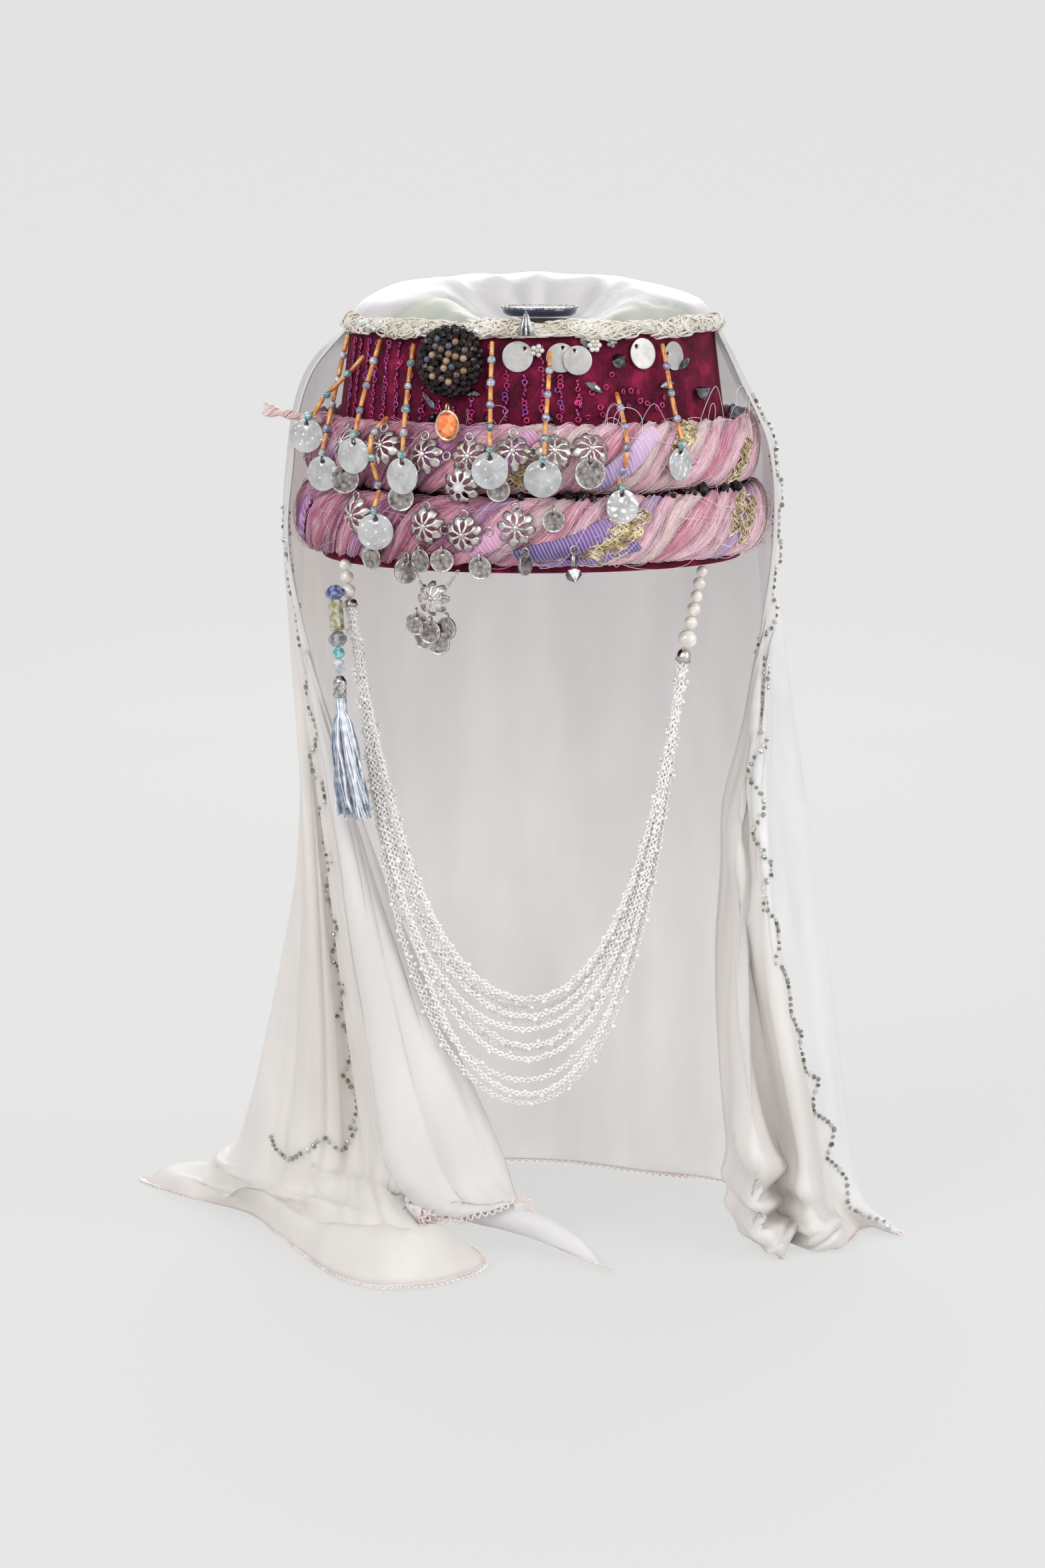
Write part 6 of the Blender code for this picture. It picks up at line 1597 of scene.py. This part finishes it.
# Tassel: silver-blue rayon cords, bound under a silver cap, that flare a little to the right.
low, high = np.array(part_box("tassel"))
corners = cad_points("tassel")
start = corners[corners[:, 2] > high[2] - 1 * MM].mean(axis=0)
TASSEL_LEAN, TASSEL_LENGTH = 6.0 * MM, high[2] - low[2]
CORDS, CORD_SAMPLES, CORD_SIDES = 130, 26, 5
t = np.linspace(0, 1, CORD_SAMPLES)[None]
spin = RANDOM.uniform(0, 2 * np.pi, (CORDS, 1))
rank = np.sqrt(RANDOM.uniform(0.02, 1.0, (CORDS, 1)))
reach = RANDOM.uniform(0.86, 1.0, (CORDS, 1))
flare = np.interp(t, [0, 0.16, 0.22, 0.45, 0.75, 1.0], [2.2, 2.2, 4.0, 5.9, 6.5, 7.2]) * MM
wobble = 0.5 * MM * np.sin(14 * t + 9 * spin) * t
drop = 0.14 + (0.86 * reach) * t
cord_paths = np.stack([
    start[0] + TASSEL_LEAN * drop**1.6 + rank * flare * np.cos(spin + 0.5 * t) + wobble,
    start[1] + 0.75 * rank * flare * np.sin(spin + 0.5 * t), start[2] - TASSEL_LENGTH * drop], axis=-1)
thickness = 0.42 * MM * (1 + 0.25 * np.sin(60 * t + 5 * spin))
points, faces = tubes(cord_paths, thickness, CORD_SIDES)
rayon = Finish("rayon_cord", Roughness=0.3, Sheen_Weight=0.3, Metallic=0.15)
rayon.into("Base Color", rayon.mix(0.35, rayon.tint(), rayon.ramp(
    rayon.noise(300.0, 3.0), (0.40, (0.22, 0.27, 0.36)), (0.60, (0.92, 0.93, 0.95)))))
rayon.bump(rayon.noise(1600.0, 2.0), 0.4, 0.15 * MM)
# The cords' own silver, blue and white tones; the darkest one is painted shade among the cords
cord_tones_and_shade = np.array([(0.80, 0.82, 0.88), (0.48, 0.53, 0.64), (0.20, 0.25, 0.36), (0.92, 0.93, 0.95)])
piece("rayon_tassel", points, faces, rayon.look, "tassel_rayon", "tassel",
      tint=each(cord_tones_and_shade[RANDOM.integers(0, 4, CORDS)], CORD_SAMPLES * CORD_SIDES))
head, head_faces = lathe([
    (0, 1.0), (0.5, 0.95), (1.0, 0.55), (1.12, 0.25), (0.95, 0.0), (1.12, -0.2), (0.95, -0.45), (1.15, -0.8),
    (1.0, -1), (0, -1)], 24)
head_points = head * [2.6 * MM, 2.4 * MM, TASSEL_LENGTH * 0.075] + start - [0, 0, TASSEL_LENGTH * 0.08]
piece("tassel_cap", head_points, head_faces, silver.look, "tassel_rayon")


# Studio: a pale seamless backdrop that runs from the floor up behind in one curve and looks even
# from the front, with an even sky and soft lights. It bends up far enough behind that a camera can
# also stand behind the headdress.
FLOOR_Z = -286.4 * MM
BACKDROP_NEAR, BACKDROP_BEND, BEND_RADIUS, BACKDROP_TOP, HALF_WIDTH = -7.0, 2.6, 1.6, 9.0, 16.0
bend = np.linspace(0, np.pi / 2, 40)
arc = np.array([BACKDROP_BEND, FLOOR_Z]) + BEND_RADIUS * np.stack([np.sin(bend), 1 - np.cos(bend)], axis=1)
profile = np.concatenate([[(BACKDROP_NEAR, FLOOR_Z)], arc, [(BACKDROP_BEND + BEND_RADIUS, BACKDROP_TOP)]])
run = np.concatenate([[0], np.cumsum(np.linalg.norm(np.diff(profile, axis=0), axis=1))])
sheet_points = np.array([(x, y, z) for y, z in profile for x in (-HALF_WIDTH, HALF_WIDTH)])
floor_mesh = bpy.data.meshes.new("backdrop")
floor_mesh.from_pydata(sheet_points.tolist(), [], grid_faces(len(profile), 2)[:, ::-1].tolist())
floor_uv = floor_mesh.uv_layers.new(name="along")
corner_rows = np.array([loop.vertex_index // 2 for loop in floor_mesh.loops])
floor_uv.data.foreach_set("uv", np.stack([0 * run[corner_rows], run[corner_rows] / run[-1]], axis=1).ravel())
floor_mesh.polygons.foreach_set("use_smooth", np.ones(len(floor_mesh.polygons), bool))
floor = bpy.data.objects.new("backdrop", floor_mesh)
floor_look = Finish("pale_backdrop", (0.16, 0.16, 0.16), Roughness=0.9, Specular_IOR_Level=0.0)
split = floor_look.node("ShaderNodeSeparateXYZ")
floor_look.link(floor_look.node("ShaderNodeUVMap", uv_map="along").outputs["UV"], split.inputs[0])
# Share of the way along the backdrop, and its own glow there: it makes up for where the lamps reach
# less far, so that the backdrop looks even from the front
GLOW = ((0.327, 0.596), (0.371, 0.584), (0.411, 0.54), (0.437, 0.515), (0.454, 0.538), (0.465, 0.584),
        (0.478, 0.645), (0.486, 0.667), (0.556, 0.64), (0.60, 0.46))
floor_look.into("Emission Color", floor_look.ramp(
    split.outputs["Y"], *((place, (glow, glow, glow - 0.004)) for place, glow in GLOW)))
floor_look.shader.inputs["Emission Strength"].default_value = 1.0
floor_mesh.materials.append(floor_look.look)
bpy.context.scene.collection.objects.link(floor)

sky = bpy.data.worlds.new("studio")
sky.use_nodes = True
sky.node_tree.nodes["Background"].inputs["Color"].default_value = (0.74, 0.75, 0.76, 1.0)
sky.node_tree.nodes["Background"].inputs["Strength"].default_value = 1.0
bpy.context.scene.world = sky
# Name, watts, size, place and the point that it looks at
LIGHTS = (
    ("key", 27.0, 1.3, (-1.3, -1.7, 1.4), (0.0, 0.0, 0.0)),
    ("fill", 16.0, 1.2, (1.9, -1.0, 0.7), (0.0, 0.0, -0.05)),
    ("back", 30.0, 1.4, (0.0, 1.9, 1.0), (0.0, 0.0, -0.05)),
    ("glint", 4.0, 0.25, (0.5, -2.1, 1.1), (0.0, 0.0, 0.05)),
)
for name, watts, size, place, target in LIGHTS:
    lamp_data = bpy.data.lights.new(name, "AREA")
    lamp_data.energy, lamp_data.size = watts, size
    lamp = bpy.data.objects.new(name, lamp_data)
    lamp.location = place
    dx, dy, dz = (b - a for a, b in zip(place, target))
    lamp.rotation_euler = (math.atan2(math.hypot(dx, dy), -dz), 0.0, math.atan2(dy, dx) - math.pi / 2)
    bpy.context.scene.collection.objects.link(lamp)
bpy.context.scene.view_settings.view_transform = "Standard"
